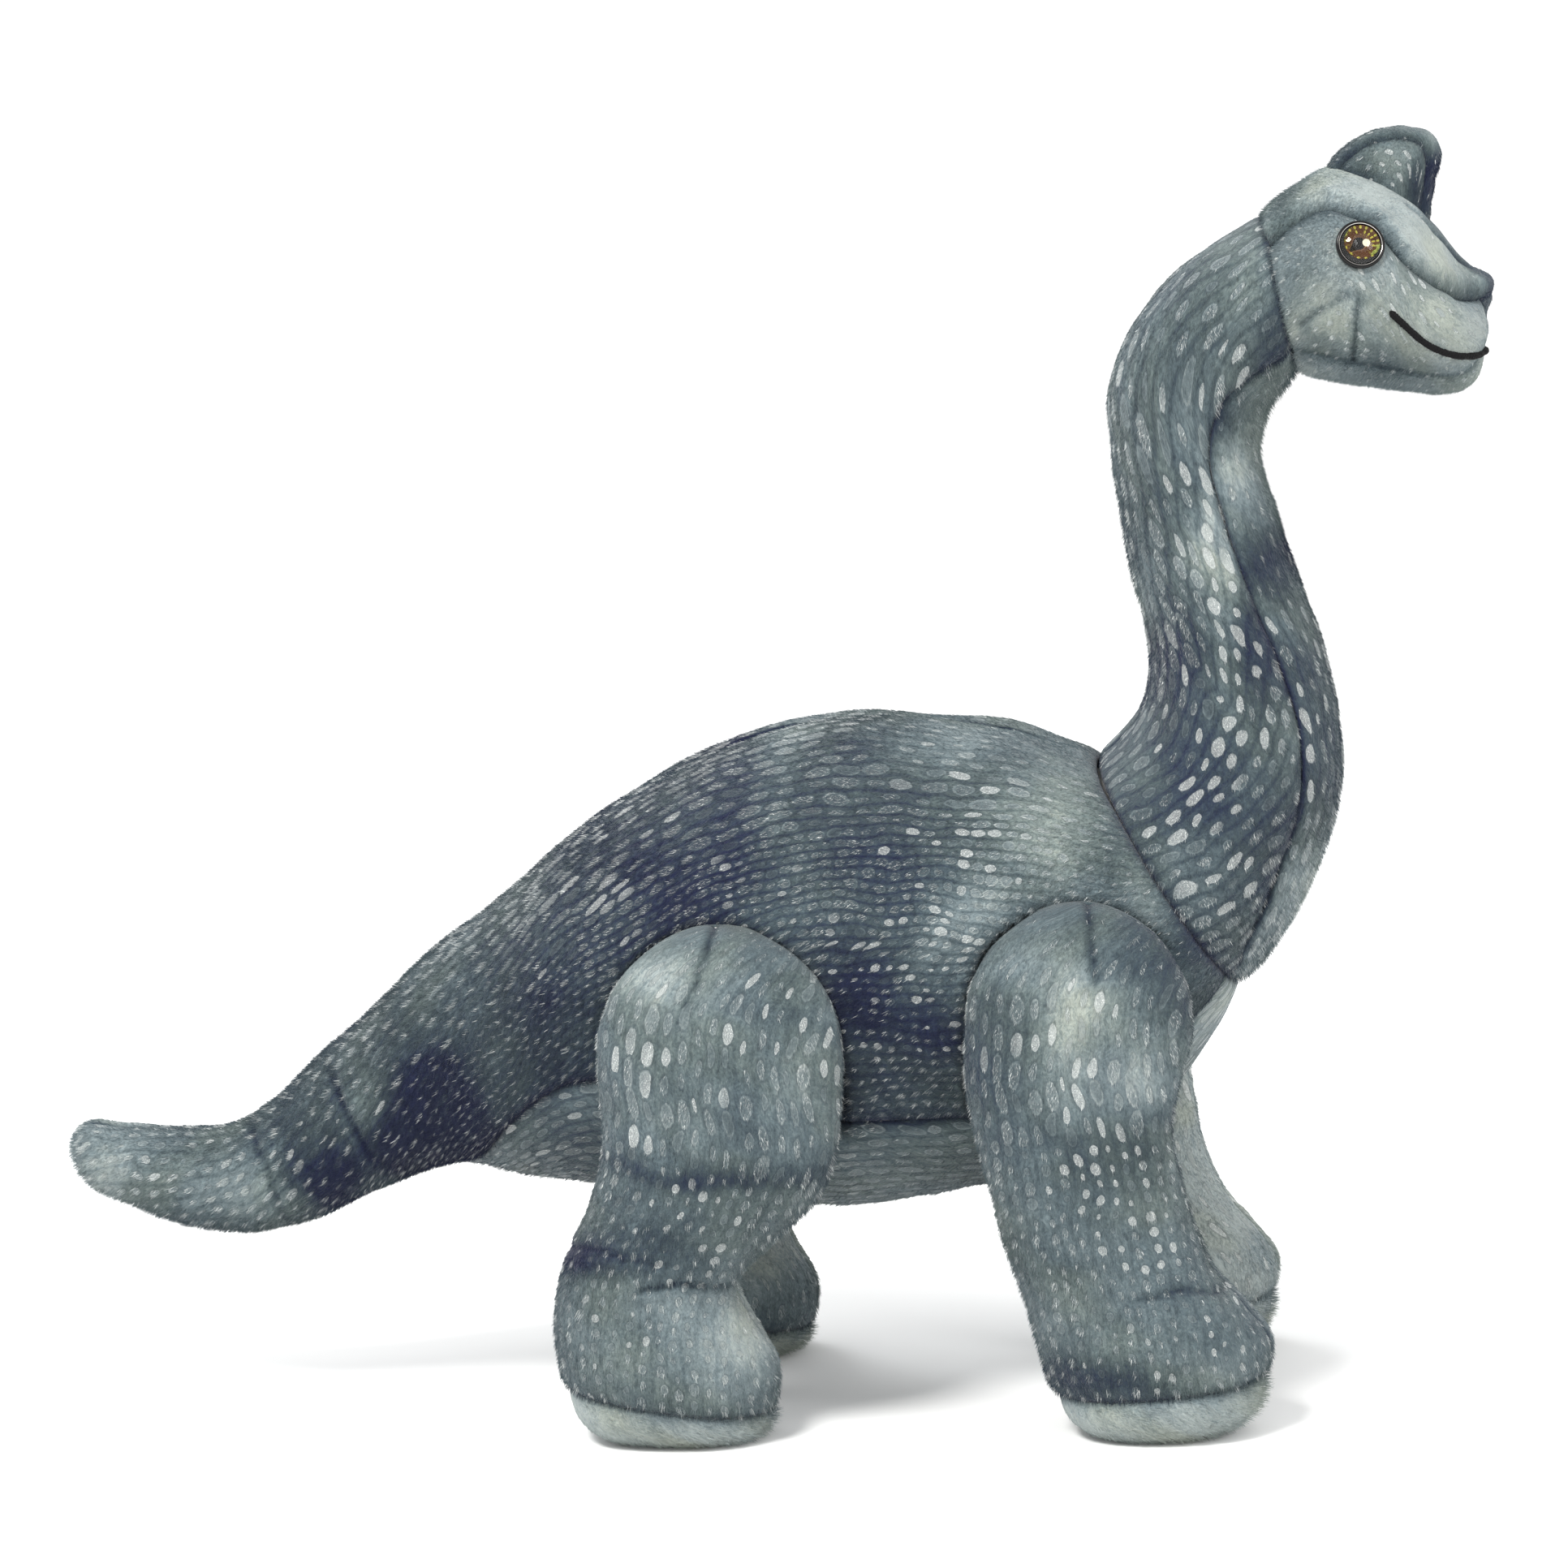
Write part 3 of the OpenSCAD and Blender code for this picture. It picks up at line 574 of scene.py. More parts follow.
def seam_pull(along, across, seams, end_seams, fade, ridge, seed):
    """How far the seams at the panel's four edges draw each point in, and how near it is to one of them."""
    held = np.ones(along.shape)
    if fade[0]:
        held = held * smoothstep(0, fade[0], along)
    if fade[1]:
        held = held * smoothstep(0, fade[1], along[-1:, :] - along)
    pull = np.zeros(along.shape)
    near = np.full(along.shape, 1e3)
    edges = [
        (across, seams[0], along), (across[:, -1:] - across, seams[1], along),
        (along, end_seams[0], across), (along[-1:, :] - along, end_seams[1], across),
    ]
    for number, (distance, strength, run) in enumerate(edges):
        if not strength:
            continue
        beside = np.stack([run, np.full(run.shape, 40.0 * number), np.full(run.shape, float(seed))], axis=-1)
        pucker = noise(beside, 4.6, seed + 11) * np.exp(-distance / PUCKER_REACH)
        depth = strength * (SEAM_DEPTH * np.exp(-distance / SEAM_REACH) + 0.5 * pucker - 0.15)
        gap = distance / strength
        if number < 2:
            depth = held * (depth - ridge * np.exp(-(((distance - 5.5) / 3.2) ** 2)))
            gap = gap + 20 * (1 - held)
        pull += depth
        near = np.minimum(near, gap)
    return pull, near


def sewn_panel(
    name, tube, angles, region, seed, span=(0, 1), pitch=1.5, seams=(1, 1), end_seams=(0, 0), left=False,
    creases=(), shape=None, extra=(), fade=(0, 0), ridge=0,
):
    """One panel of plush, sewn at its edges: its cloth dips into each seam, puckers beside it and swells
    between the seams. angles gives the panel's two edge angles for the tube's rows, and span the share of
    the tube it covers. seams and end_seams say how strongly its sides and its ends are drawn in, fade how
    far from each end the side seams begin, and ridge how high the padding beside them stands."""
    points = panel_grid(tube, angles, span, pitch)
    if shape is not None:
        points = shape(points)
    normals = grid_normals(points)
    normals = normals * np.sign(np.sum(normals * (points - points.mean(axis=1, keepdims=True))))
    along, across = run_length(points, 0), run_length(points, 1)
    own_side = points * [1, -1, 1] if left else points
    pull, near = seam_pull(along, across, seams, end_seams, fade, ridge, seed)
    # Painted shade: this darkens the cloth's colour along the seams and the creases.
    painted_crease_shade = np.exp(-near / 2.4)
    for line, depth, view in creases:
        distance = crease_distance(points, line, view)
        pull += depth * np.exp(-((distance / 1.2) ** 2)) - 0.3 * depth * np.exp(-((distance / 5) ** 2))
        painted_crease_shade = np.maximum(painted_crease_shade, 0.8 * depth * np.exp(-distance / 0.9))
    swell = 0.9 * (1 - np.exp(-near / 14)) + 1.0 * noise(own_side, 26, seed + 5)
    swell += 0.45 * noise(own_side, 10, seed + 6)
    outer = points + normals * (swell - pull)[..., None]
    outer[..., 2] = np.maximum(outer[..., 2], 0.3)
    inner = outer - normals * CLOTH
    inner[..., 2] = np.maximum(inner[..., 2], 0.3 + 0.5 * CLOTH * (points[..., 2] < 4))
    dye_and_painted_light = np.stack([
        tone_at(own_side, region, seed + 20 * left, extra), spot_size_at(own_side, region, seed),
        np.clip(painted_crease_shade, 0, 1), painted_glint_at(own_side, region),
    ], axis=-1)
    if left:
        outer, inner = outer * [1, -1, 1], inner * [1, -1, 1]
    return shell_from_grid(name, outer, inner, dye_and_painted_light, np.stack([along + 500 * left, across], axis=-1))


# ---------------------------------------------------------------------------------------------------------
# Materials
class Wires:
    """A material, and short calls for the nodes that work out its looks."""

    def __init__(self, name):
        self.material = bpy.data.materials.new(name)
        self.material.use_nodes = True
        self.nodes = self.material.node_tree.nodes
        self.links = self.material.node_tree.links
        self.shader = self.nodes["Principled BSDF"]

    def plug(self, socket, value):
        if isinstance(value, bpy.types.NodeSocket):
            self.links.new(value, socket)
        else:
            socket.default_value = value

    def look(self, name, value):
        self.plug(self.shader.inputs[name], value)

    def add(self, kind, *values):
        """A node of this kind, with its first inputs set or linked."""
        node = self.nodes.new(kind)
        for socket, value in zip(node.inputs, values):
            self.plug(socket, value)
        return node

    def cloth(self):
        """The place on the cloth, then how far along and across it that is."""
        place = self.nodes.new("ShaderNodeUVMap")
        place.uv_map = "cloth"
        split = self.add("ShaderNodeSeparateXYZ", place.outputs[0])
        return place.outputs[0], split.outputs[0], split.outputs[1]

    def place(self):
        return self.nodes.new("ShaderNodeTexCoord").outputs["Object"]

    def math(self, operation, *values):
        node = self.add("ShaderNodeMath", *values)
        node.operation = operation
        return node.outputs[0]

    def plus(self, first, second):
        return self.math("ADD", first, second)

    def minus(self, first, second):
        return self.math("SUBTRACT", first, second)

    def times(self, first, second):
        return self.math("MULTIPLY", first, second)

    def sway(self, value, amount):
        """How far a value lies from a half, made this many times larger."""
        return self.times(self.minus(value, 0.5), amount)

    def length(self, x, y):
        return self.math("SQRT", self.plus(self.times(x, x), self.times(y, y)))

    def join(self, x, y):
        return self.add("ShaderNodeCombineXYZ", x, y, 0.0).outputs[0]

    def parts(self, colour):
        return self.add("ShaderNodeSeparateColor", colour).outputs

    def chance(self, value, dimensions="2D", socket="Vector"):
        """A random number and a random colour for each different value."""
        node = self.nodes.new("ShaderNodeTexWhiteNoise")
        node.noise_dimensions = dimensions
        self.plug(node.inputs[socket], value)
        return node.outputs

    def noise(self, vector, scale, detail=2.0, rough=0.5):
        node = self.nodes.new("ShaderNodeTexNoise")
        for name, value in (("Vector", vector), ("Scale", scale), ("Detail", detail), ("Roughness", rough)):
            self.plug(node.inputs[name], value)
        return node.outputs["Fac"]

    def mix(self, share, first, second, blend="MIX"):
        node = self.nodes.new("ShaderNodeMix")
        node.data_type, node.blend_type = "RGBA", blend
        for number, value in ((0, share), (6, first), (7, second)):
            self.plug(node.inputs[number], value)
        return node.outputs[2]

    def ramp(self, value, stops):
        node = self.add("ShaderNodeValToRGB", value)
        elements = node.color_ramp.elements
        while len(elements) < len(stops):
            elements.new(0.5)
        for element, (position, colour) in zip(elements, stops):
            element.position = position
            element.color = (*colour, 1)
        return node.outputs[0]

    def step(self, value, low, high):
        """Rises smoothly from 0 at low to 1 at high."""
        node = self.add("ShaderNodeMapRange", value, low, high, 0.0, 1.0)
        node.interpolation_type = "SMOOTHSTEP"
        return node.outputs[0]

    def bump(self, height, strength, distance):
        node = self.nodes.new("ShaderNodeBump")
        for name, value in (("Strength", strength), ("Distance", distance), ("Height", height)):
            self.plug(node.inputs[name], value)
        self.look("Normal", node.outputs[0])


DYE_STOPS = [
    (0.0, (0.005, 0.009, 0.034)), (0.2, (0.018, 0.029, 0.050)), (0.42, (0.042, 0.062, 0.075)),
    (0.6, (0.086, 0.117, 0.129)), (0.8, (0.165, 0.207, 0.219)), (1.0, (0.310, 0.352, 0.346)),
]


def velour(name, pitch, spot, drift, finer=None, sooner=None, show=0.8, rows=1):
    """Tie-dyed short pile with rows of crinkled silver foil spots, some with painted highlights, and painted
    shade along seams and creases. pitch is the spots' spacing along and across the cloth in millimetres, spot
    the largest half length and half width of one as shares of it.
    drift is how far a spot may stray in its cell. finer gives a distance across from which on rows lie
    closer, and the closer spacing along and across. sooner gives a distance along below which spots follow
    each other closer, and that spacing. show is how plain the dull spots are, and rows how plainly the
    cloth's rows show in the pile: 0 for an even, mottled pile."""
    w = Wires(name)
    cloth, along, across = w.cloth()
    # This colour attribute holds the dyed tone, the foil spots' size, painted shade along seams and creases,
    # and in its alpha the share of spots with painted glints.
    dye_and_painted_light = w.nodes.new("ShaderNodeVertexColor")
    dye_and_painted_light.layer_name = "dye_and_painted_light"
    tone, size, painted_crease_shade = w.parts(dye_and_painted_light.outputs[0])
    painted_glint_share = dye_and_painted_light.outputs["Alpha"]

    # Pile: fine streaks along the cloth, clumps, and a softer mottling
    bend = w.times(w.noise(cloth, 0.16), 5.0)
    streak = w.noise(w.join(w.times(along, 0.85 - 0.43 * rows), w.plus(across, bend)), 1.5, 3, 0.65)
    clump = w.noise(w.join(w.times(along, 0.55), across), 0.42, 3, 0.6)
    mottle = w.noise(cloth, 0.09, 3, 0.6)
    value = w.plus(tone, w.sway(streak, 0.55))
    value = w.plus(value, w.sway(clump, 0.30))
    value = w.plus(value, w.sway(mottle, 0.38))
    # Painted shade along the seams and the creases
    value = w.minus(value, w.times(painted_crease_shade, 0.36))

    # One cell for each foil spot, in staggered rows
    laid = w.plus(across, w.sway(w.noise(cloth, 0.04), 10.0))
    row_at = w.math("DIVIDE", laid, pitch[1])
    if finer:
        beyond = w.math("MAXIMUM", w.minus(laid, finer[0]), 0.0)
        row_at = w.plus(row_at, w.times(beyond, 1 / finer[2] - 1 / pitch[1]))
    row = w.math("FLOOR", row_at)
    column_at = w.math("DIVIDE", along, pitch[0])
    if finer:
        first = finer[0] / pitch[1]
        close = w.times(w.step(row, first, first + 4), 1 / finer[1] - 1 / pitch[0])
        column_at = w.times(along, w.plus(close, 1 / pitch[0]))
    if sooner:
        before = w.math("MINIMUM", along, sooner[0])
        column_at = w.plus(column_at, w.times(before, 1 / sooner[1] - 1 / pitch[0]))
    column_at = w.plus(column_at, w.times(w.chance(row, "1D", "W")[0], 7.3))
    random = w.parts(w.chance(w.join(w.math("FLOOR", column_at), row))["Color"])
    from_column = w.minus(w.math("FRACT", column_at), 0.5)
    from_row = w.minus(w.math("FRACT", row_at), 0.5)

    # The pile's colour, darker between the rows, and browner where it is worn
    between = w.times(w.step(w.math("ABSOLUTE", from_row), 0.30, 0.5), size)
    value = w.minus(value, w.times(between, 0.16 * rows))
    colour = w.ramp(value, DYE_STOPS)
    worn = w.step(w.noise(cloth, 0.028), 0.42, 0.60)
    colour = w.mix(worn, colour, w.mix(1.0, colour, (1.03, 1.0, 0.91, 1), "MULTIPLY"))

    # The spot in its cell, moved, sized and torn at random
    grown = w.times(size, w.plus(0.56, w.times(random[2], 0.66)))
    grown = w.times(grown, w.plus(0.72, w.times(mottle, 0.56)))
    from_column = w.plus(from_column, w.sway(random[0], drift))
    from_row = w.plus(from_row, w.sway(random[1], drift))
    long_share = w.math("DIVIDE", w.times(from_column, 1 / spot[0]), grown)
    wide_share = w.math("DIVIDE", w.times(from_row, 1 / spot[1]), grown)
    radius = w.plus(w.length(long_share, wide_share), w.sway(w.noise(cloth, 1.2), 0.30))
    foil = w.step(radius, 1.0, 0.86)
    outline = w.times(w.step(radius, 0.62, 0.84), foil)
    shade = w.times(w.step(radius, 1.45, 1.05), w.minus(1.0, foil))
    crinkle = w.noise(cloth, 2.4, 4, 0.75)
    glint = w.step(crinkle, 0.50, 0.66)
    # Painted highlights: in the glint zones some spots get near-white glints painted into their base colour,
    # with a little metal.
    lit = w.step(w.plus(random[0], w.times(painted_glint_share, 0.85)), 0.93, 1.12)
    painted_highlight = w.times(w.times(foil, lit), w.plus(0.22, w.times(glint, 0.78)))
    foil_value = w.plus(value, w.plus(0.08, w.times(outline, 0.16)))
    foil_value = w.plus(foil_value, w.sway(crinkle, 0.5))
    colour = w.mix(w.times(shade, 0.26), colour, (0.018, 0.026, 0.040, 1))
    colour = w.mix(w.times(foil, show), colour, w.ramp(foil_value, DYE_STOPS))
    w.look("Base Color", w.mix(painted_highlight, colour, (0.90, 0.92, 0.90, 1)))
    w.look("Metallic", w.times(painted_highlight, 0.45))
    w.look("Roughness", w.minus(0.88, w.times(foil, 0.40)))
    height = w.plus(w.times(streak, 0.7), w.times(clump, 0.8))
    height = w.minus(height, w.times(foil, 0.30))
    w.bump(w.plus(height, w.times(w.times(crinkle, foil), 0.6)), 0.9, 0.0012)
    w.look("Sheen Weight", 0.16)
    w.look("Sheen Roughness", 0.45)
    w.look("Specular IOR Level", 0.25)
    return w.material


def stuffing_material():
    w = Wires("polyester_fibre")
    fibres = w.noise(w.place(), 900, 4, 0.7)
    lumps = w.noise(w.place(), 120, 3)
    stops = [(0.3, (0.70, 0.70, 0.68)), (0.7, (0.92, 0.92, 0.90))]
    w.look("Base Color", w.ramp(w.times(w.plus(fibres, lumps), 0.5), stops))
    w.bump(fibres, 0.6, 0.0008)
    w.look("Roughness", 0.95)
    return w.material


def thread_material():
    w = Wires("black_embroidery")
    cloth, along, around = w.cloth()
    stitch = w.math("SINE", w.plus(w.times(along, 11.0), w.times(around, 3.0)))
    fray = w.noise(cloth, 5.0, 3, 0.7)
    stops = [(0.2, (0.0015, 0.0015, 0.002)), (0.9, (0.010, 0.010, 0.011))]
    w.look("Base Color", w.ramp(w.plus(w.times(stitch, 0.25), fray), stops))
    w.bump(w.plus(stitch, fray), 0.6, 0.0003)
    w.look("Roughness", 0.7)
    w.look("Specular IOR Level", 0.15)
    return w.material


def black_plastic():
    """Glossy black plastic, with the thin silver line that runs round inside the eye's rim."""
    w = Wires("eye_black_plastic")
    cloth, radius, _ = w.cloth()
    ring = w.times(w.step(radius, 6.44, 6.48), w.step(radius, 6.64, 6.60))
    scuff = w.noise(cloth, 1.5, 3, 0.6)
    black = w.ramp(scuff, [(0.3, (0.003, 0.003, 0.003)), (0.8, (0.008, 0.008, 0.008))])
    w.look("Base Color", w.mix(ring, black, (0.55, 0.53, 0.50, 1)))
    w.look("Metallic", w.times(ring, 0.7))
    w.look("Roughness", w.plus(0.12, w.times(scuff, 0.1)))
    w.look("Specular IOR Level", 0.22)
    return w.material


def iris_material():
    """Painted iris: brown, with yellow-green flecks, a green patch and a drop-shaped pupil. Its cloth
    coordinates are shares of the iris's radius, with the toy's front at +x and up at +y."""
    w = Wires("eye_painted_iris")
    cloth, x, y = w.cloth()
    radius = w.length(x, y)
    angle = w.math("ARCTAN2", y, x)
    browns = [(0.25, (0.060, 0.020, 0.005)), (0.75, (0.110, 0.042, 0.012))]
    brown = w.ramp(w.noise(cloth, 3.0, 4, 0.6), browns)

    # Flecks: short bars that point at the pupil, in two rings
    turn_cell = w.times(angle, 19 / (2 * math.pi))
    ring_cell = w.times(radius, 4.2)
    chance = w.chance(w.join(w.math("FLOOR", turn_cell), w.math("FLOOR", ring_cell)))
    bar = w.length(w.sway(w.math("FRACT", turn_cell), 4.6), w.sway(w.math("FRACT", ring_cell), 2.5))
    picked = w.math("GREATER_THAN", chance["Value"], 0.42)
    outer_part = w.math("GREATER_THAN", radius, 0.42)
    upper = w.step(w.plus(y, w.times(x, 0.35)), -0.45, 0.0)
    fleck = w.times(w.times(w.step(bar, 1.05, 0.85), picked), w.times(outer_part, upper))
    colour = w.mix(fleck, brown, (0.42, 0.40, 0.05, 1))

    # Green patch low at the front
    ragged = w.sway(w.noise(cloth, 5.0), 0.5)
    patch = w.plus(w.math("ABSOLUTE", w.minus(angle, -0.5)), ragged)
    patch = w.times(w.step(patch, 0.50, 0.40), w.step(w.plus(radius, ragged), 0.66, 0.74))
    green = w.ramp(w.noise(cloth, 8.0), [(0.35, (0.16, 0.20, 0.02)), (0.7, (0.46, 0.52, 0.12))])
    colour = w.mix(patch, colour, green)

    # Pupil: a circle drawn out to a point, low at the back
    pupil_radius, point_reach = 0.29, 0.68
    px, py = w.plus(x, 0.08), w.minus(y, 0.02)
    run = w.plus(w.times(px, -0.80), w.times(py, -0.60))
    off = w.math("ABSOLUTE", w.plus(w.times(px, 0.60), w.times(py, -0.80)))
    squared = w.minus(pupil_radius**2, w.times(run, run))
    round_half = w.math("SQRT", w.math("MAXIMUM", squared, 0.0))
    taper = w.math("MAXIMUM", w.minus(1.0, w.math("DIVIDE", run, point_reach)), 0.0)
    point_half = w.times(w.times(taper, pupil_radius), w.math("GREATER_THAN", run, 0.0))
    gap = w.minus(off, w.math("MAXIMUM", round_half, point_half))
    held = w.times(w.math("GREATER_THAN", run, -0.31), w.math("LESS_THAN", run, 0.70))
    rim = w.times(w.step(gap, 0.075, 0.045), held)
    pupil = w.times(w.step(gap, 0.012, -0.012), held)
    colour = w.mix(w.times(rim, 0.6), colour, (0.16, 0.085, 0.045, 1))
    colour = w.mix(pupil, colour, (0.003, 0.003, 0.003, 1))

    # The painted highlight at the front of the pupil, and the iris's black edge
    cream = w.length(w.minus(x, 0.26), w.minus(y, 0.05))
    colour = w.mix(w.step(cream, 0.185, 0.165), colour, (0.78, 0.72, 0.52, 1))
    w.look("Base Color", w.mix(w.step(radius, 0.93, 0.97), colour, (0.006, 0.005, 0.005, 1)))
    w.look("Roughness", 0.6)
    w.look("Specular IOR Level", 0.05)
    return w.material


def clear_plastic():
    w = Wires("eye_clear_plastic")
    w.look("Roughness", w.times(w.noise(w.place(), 300), 0.03))
    w.look("Base Color", (1, 1, 1, 1))
    w.look("Transmission Weight", 1)
    w.look("IOR", 1.32)
    return w.material


def white_plastic():
    w = Wires("eye_washer_plastic")
    grain = w.noise(w.place(), 700, 3)
    w.look("Base Color", w.ramp(grain, [(0.3, (0.66, 0.66, 0.64)), (0.7, (0.74, 0.74, 0.72))]))
    w.bump(grain, 0.2, 0.0002)
    w.look("Roughness", 0.5)
    return w.material


def floor_material():
    w = Wires("pale_floor")
    w.look("Base Color", (0.93, 0.93, 0.925, 1))
    w.look("Roughness", 0.9)
    return w.material


VELOURS = {
    "body": velour("velour_body", (9.0, 4.8), (0.44, 0.35), 0.2, finer=(50, 4.2, 3.5), sooner=(115, 5.8)),
    "belly": velour("velour_belly", (8.5, 4.6), (0.46, 0.38), 0.3),
    "neck": velour("velour_neck", (10.5, 5.6), (0.43, 0.35), 0.2),
    "leg": velour("velour_leg", (9.8, 4.9), (0.43, 0.33), 0.25, sooner=(85, 5.2), show=0.6, rows=0.5),
    "head": velour("velour_head", (5.2, 4.4), (0.27, 0.27), 0.45, show=1.0, rows=0),
    "crest": velour("velour_crest", (4.8, 4.0), (0.24, 0.24), 0.4, rows=0),
}
FIBRE = stuffing_material()


# ---------------------------------------------------------------------------------------------------------
# Pile
def grow_pile(piece, count, comb, length=2.7, seed=1):
    """Short fibres over the panel's outer face, combed one way. comb is the way they lean, and length is in
    millimetres."""
    piece.modifiers.new("pile", "PARTICLE_SYSTEM")
    system = piece.particle_systems[-1]
    system.seed = seed
    system.vertex_group_density = "pile"
    system.vertex_group_length = "pile"
    fibres = system.settings
    fibres.type = "HAIR"
    fibres.count = count
    fibres.hair_step = 3
    fibres.render_step = 2
    fibres.display_step = 2
    fibres.emit_from = "FACE"
    fibres.use_emit_random = True
    fibres.distribution = "RAND"
    fibres.hair_length = 0.5 * length * MM
    fibres.object_align_factor = Vector(comb).normalized() * (0.19 * length * MM)
    fibres.factor_random = 0.075 * length * MM
    fibres.length_random = 0.5
    fibres.root_radius = 0.14
    fibres.tip_radius = 0.03
    fibres.radius_scale = MM
    fibres.material = 1


def dress(piece, material):
    piece.data.materials.append(material)


def dress_rigid(piece, material, body_name, node):
    """Dresses a piece that rides one body and stands for one CAD node."""
    dress(piece, material)
    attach(piece, body_name)
    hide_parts(node)


# ---------------------------------------------------------------------------------------------------------
# Camera and light
def aim_camera():
    """The photo's view of the toy's right side: a little from behind, from above, and rolled."""
    azimuth, elevation, roll = math.radians(6.5), math.radians(8), math.radians(2.3)
    distance = 1800 * MM
    target = Vector(((cad_box[0][0] + cad_box[1][0]) / 2 + 5 * MM, 0, cad_box[1][2] * 0.4972))
    level = math.cos(elevation)
    sight = Vector((-math.sin(azimuth) * level, math.cos(azimuth) * level, -math.sin(elevation)))
    lens = bpy.data.cameras.new("camera")
    lens.sensor_width = 36
    lens.lens = 131.5
    lens.clip_end = 20
    camera = link_object("camera", lens)
    upright = sight.to_track_quat("-Z", "Y").to_matrix().to_4x4()
    rolled = upright @ Matrix.Rotation(-roll, 4, "Z")
    camera.matrix_world = Matrix.Translation(target - sight * distance) @ rolled
    bpy.context.scene.camera = camera


def light_studio():
    world = bpy.data.worlds.new("studio")
    world.use_nodes = True
    background = world.node_tree.nodes["Background"]
    background.inputs["Color"].default_value = (1.0, 1.0, 1.0, 1)
    background.inputs["Strength"].default_value = 1.1
    bpy.context.scene.world = world
    bpy.context.scene.view_settings.view_transform = "Standard"
    # Each lamp's name, place, width and height, power, and colour
    lamps = [
        ("key", (-0.6, -1.2, 1.7), (0.6, 0.6), 42, (1.0, 0.99, 0.97)),
        ("front", (1.5, -0.9, 0.9), (0.7, 0.9), 8, (1.0, 1.0, 1.0)),
        ("back", (-0.9, 1.3, 1.2), (0.8, 0.8), 10, (0.95, 0.98, 1.0)),
    ]
    aim = Vector((0, 0, 0.2))
    for name, place, size, power, colour in lamps:
        light = bpy.data.lights.new(name, "AREA")
        light.shape, light.size, light.size_y = "ELLIPSE", size[0], size[1]
        light.energy, light.color = power, colour
        lamp = link_object(name, light)
        lamp.location = place
        lamp.rotation_euler = (aim - Vector(place)).to_track_quat("-Z", "Y").to_euler()


def lay_floor():
    half = 4.0
    corners = [(-half, -half, 0), (half, -half, 0), (half, half, 0), (-half, half, 0)]
    mesh = bpy.data.meshes.new("floor")
    mesh.from_pydata(corners, [], [(0, 1, 2, 3)])
    mesh.materials.append(floor_material())
    link_object("floor", mesh)


def across_tail(piece):
    """Bakes the piece's place into its points."""
    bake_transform(piece)


def side_angles(row):
    return np.zeros(len(row)), np.minimum(row[:, 6], 180)


def under_angles(row, seam=6):
    return row[:, seam], 360 - row[:, seam]


def fixed_angles(low, high):
    return lambda row: (np.full(len(row), float(low)), np.full(len(row), float(high)))


def build_body():
    belly_point = (body.place[len(TAIL_ROWS) - 1] + 4) / body.length
    for number, side in enumerate(("right", "left")):
        panel = sewn_panel(
            f"plush_body_{side}", body, side_angles, "body", 3 + 4 * number, pitch=1.45, left=side == "left",
            seams=(0.35, 1), end_seams=(0, 0.7), creases=BODY_CREASES, shape=press_by_legs, fade=(10, 0),
        )
        dress(panel, VELOURS["body"])
        across_tail(panel)
        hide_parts(f"body_panel_{side}", f"tail_panel_{side}")
        grow_pile(panel, 130000, (-1, 0, -0.45), seed=number)

    belly = sewn_panel(
        "plush_belly", body, under_angles, "belly", 17, span=(belly_point, 1), pitch=1.6, end_seams=(0, 1),
        shape=press_by_legs, fade=(12, 0),
    )
    dress(belly, VELOURS["belly"])
    across_tail(belly)
    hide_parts("belly_panel")
    grow_pile(belly, 22000, (-1, 0, 0), seed=5)


def build_neck():
    panels = [
        ("plush_neck_right", side_angles, False, "neck", 31, "neck_panel_right", 34000),
        ("plush_neck_left", side_angles, True, "neck", 37, "neck_panel_left", 34000),
        ("plush_throat", under_angles, False, "throat", 43, "throat_panel", 24000),
    ]
    for name, angles, left, region, seed, node, count in panels:
        panel = sewn_panel(
            name, neck, angles, region, seed, pitch=1.35, seams=(0.5, 0.9), end_seams=(0.6, 0.35), left=left,
        )
        dress(panel, VELOURS["neck"])
        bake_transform(panel)
        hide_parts(node)
        grow_pile(panel, count, (0.1, 0, -1), seed=seed)


def build_leg(end, tube, creases, side, seed):
    """One leg: its outer and inner panels, and its sole."""
    left = side == "left"
    leg_body = f"{end}_leg_{side}"
    extra = FAR_FORE_LEG if leg_body == "fore_leg_left" else ()
    sole_share = tube.place[SOLE_ROW] / tube.length
    for half, low, high, lines, count in (("outer", 0, 180, creases, 28000), ("inner", 180, 360, (), 20000)):
        panel = sewn_panel(
            f"plush_{end}_leg_{half}_{side}", tube, fixed_angles(low, high), f"{end}_leg", seed,
            span=(sole_share, 1), pitch=1.4, seams=(0.5, 0.5), end_seams=(0.8, 0), left=left, creases=lines,
            extra=extra, fade=(0, 26),
        )
        dress(panel, VELOURS["leg"])
        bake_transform(panel)
        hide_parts(f"{end}_leg_{half}_{side}")
        grow_pile(panel, count, (0, 0, -1), seed=seed)
    sole = sewn_panel(
        f"plush_{end}_sole_{side}", tube, fixed_angles(0, 360), "sole", seed, span=(0, sole_share), pitch=1.3,
        seams=(0, 0), end_seams=(0, 0.8), left=left, extra=extra,
    )
    dress_rigid(sole, VELOURS["leg"], leg_body, f"{end}_sole_{side}")
    grow_pile(sole, 8000, (1, 0, 0), seed=seed)


def build_legs():
    build_leg("hind", hind_leg, HIND_CREASES, "right", 53)
    build_leg("hind", hind_leg, HIND_CREASES, "left", 63)
    build_leg("fore", fore_leg, FORE_CREASES, "right", 58)
    build_leg("fore", fore_leg, FORE_CREASES, "left", 68)


# ---------------------------------------------------------------------------------------------------------
# Head
def eye_frame(side):
    """The eye's middle and its axes: forward, up and out of the head."""
    iris = np.array(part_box(f"eye_iris_{side}")).mean(axis=0)
    washer = np.array(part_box(f"eye_washer_{side}")).mean(axis=0)
    out = Vector(iris - washer).normalized()
    up = (Vector((0, 0, 1)) - out * out.z).normalized()
    forward = up.cross(out) if side == "right" else out.cross(up)
    return Vector(iris), forward, up, out


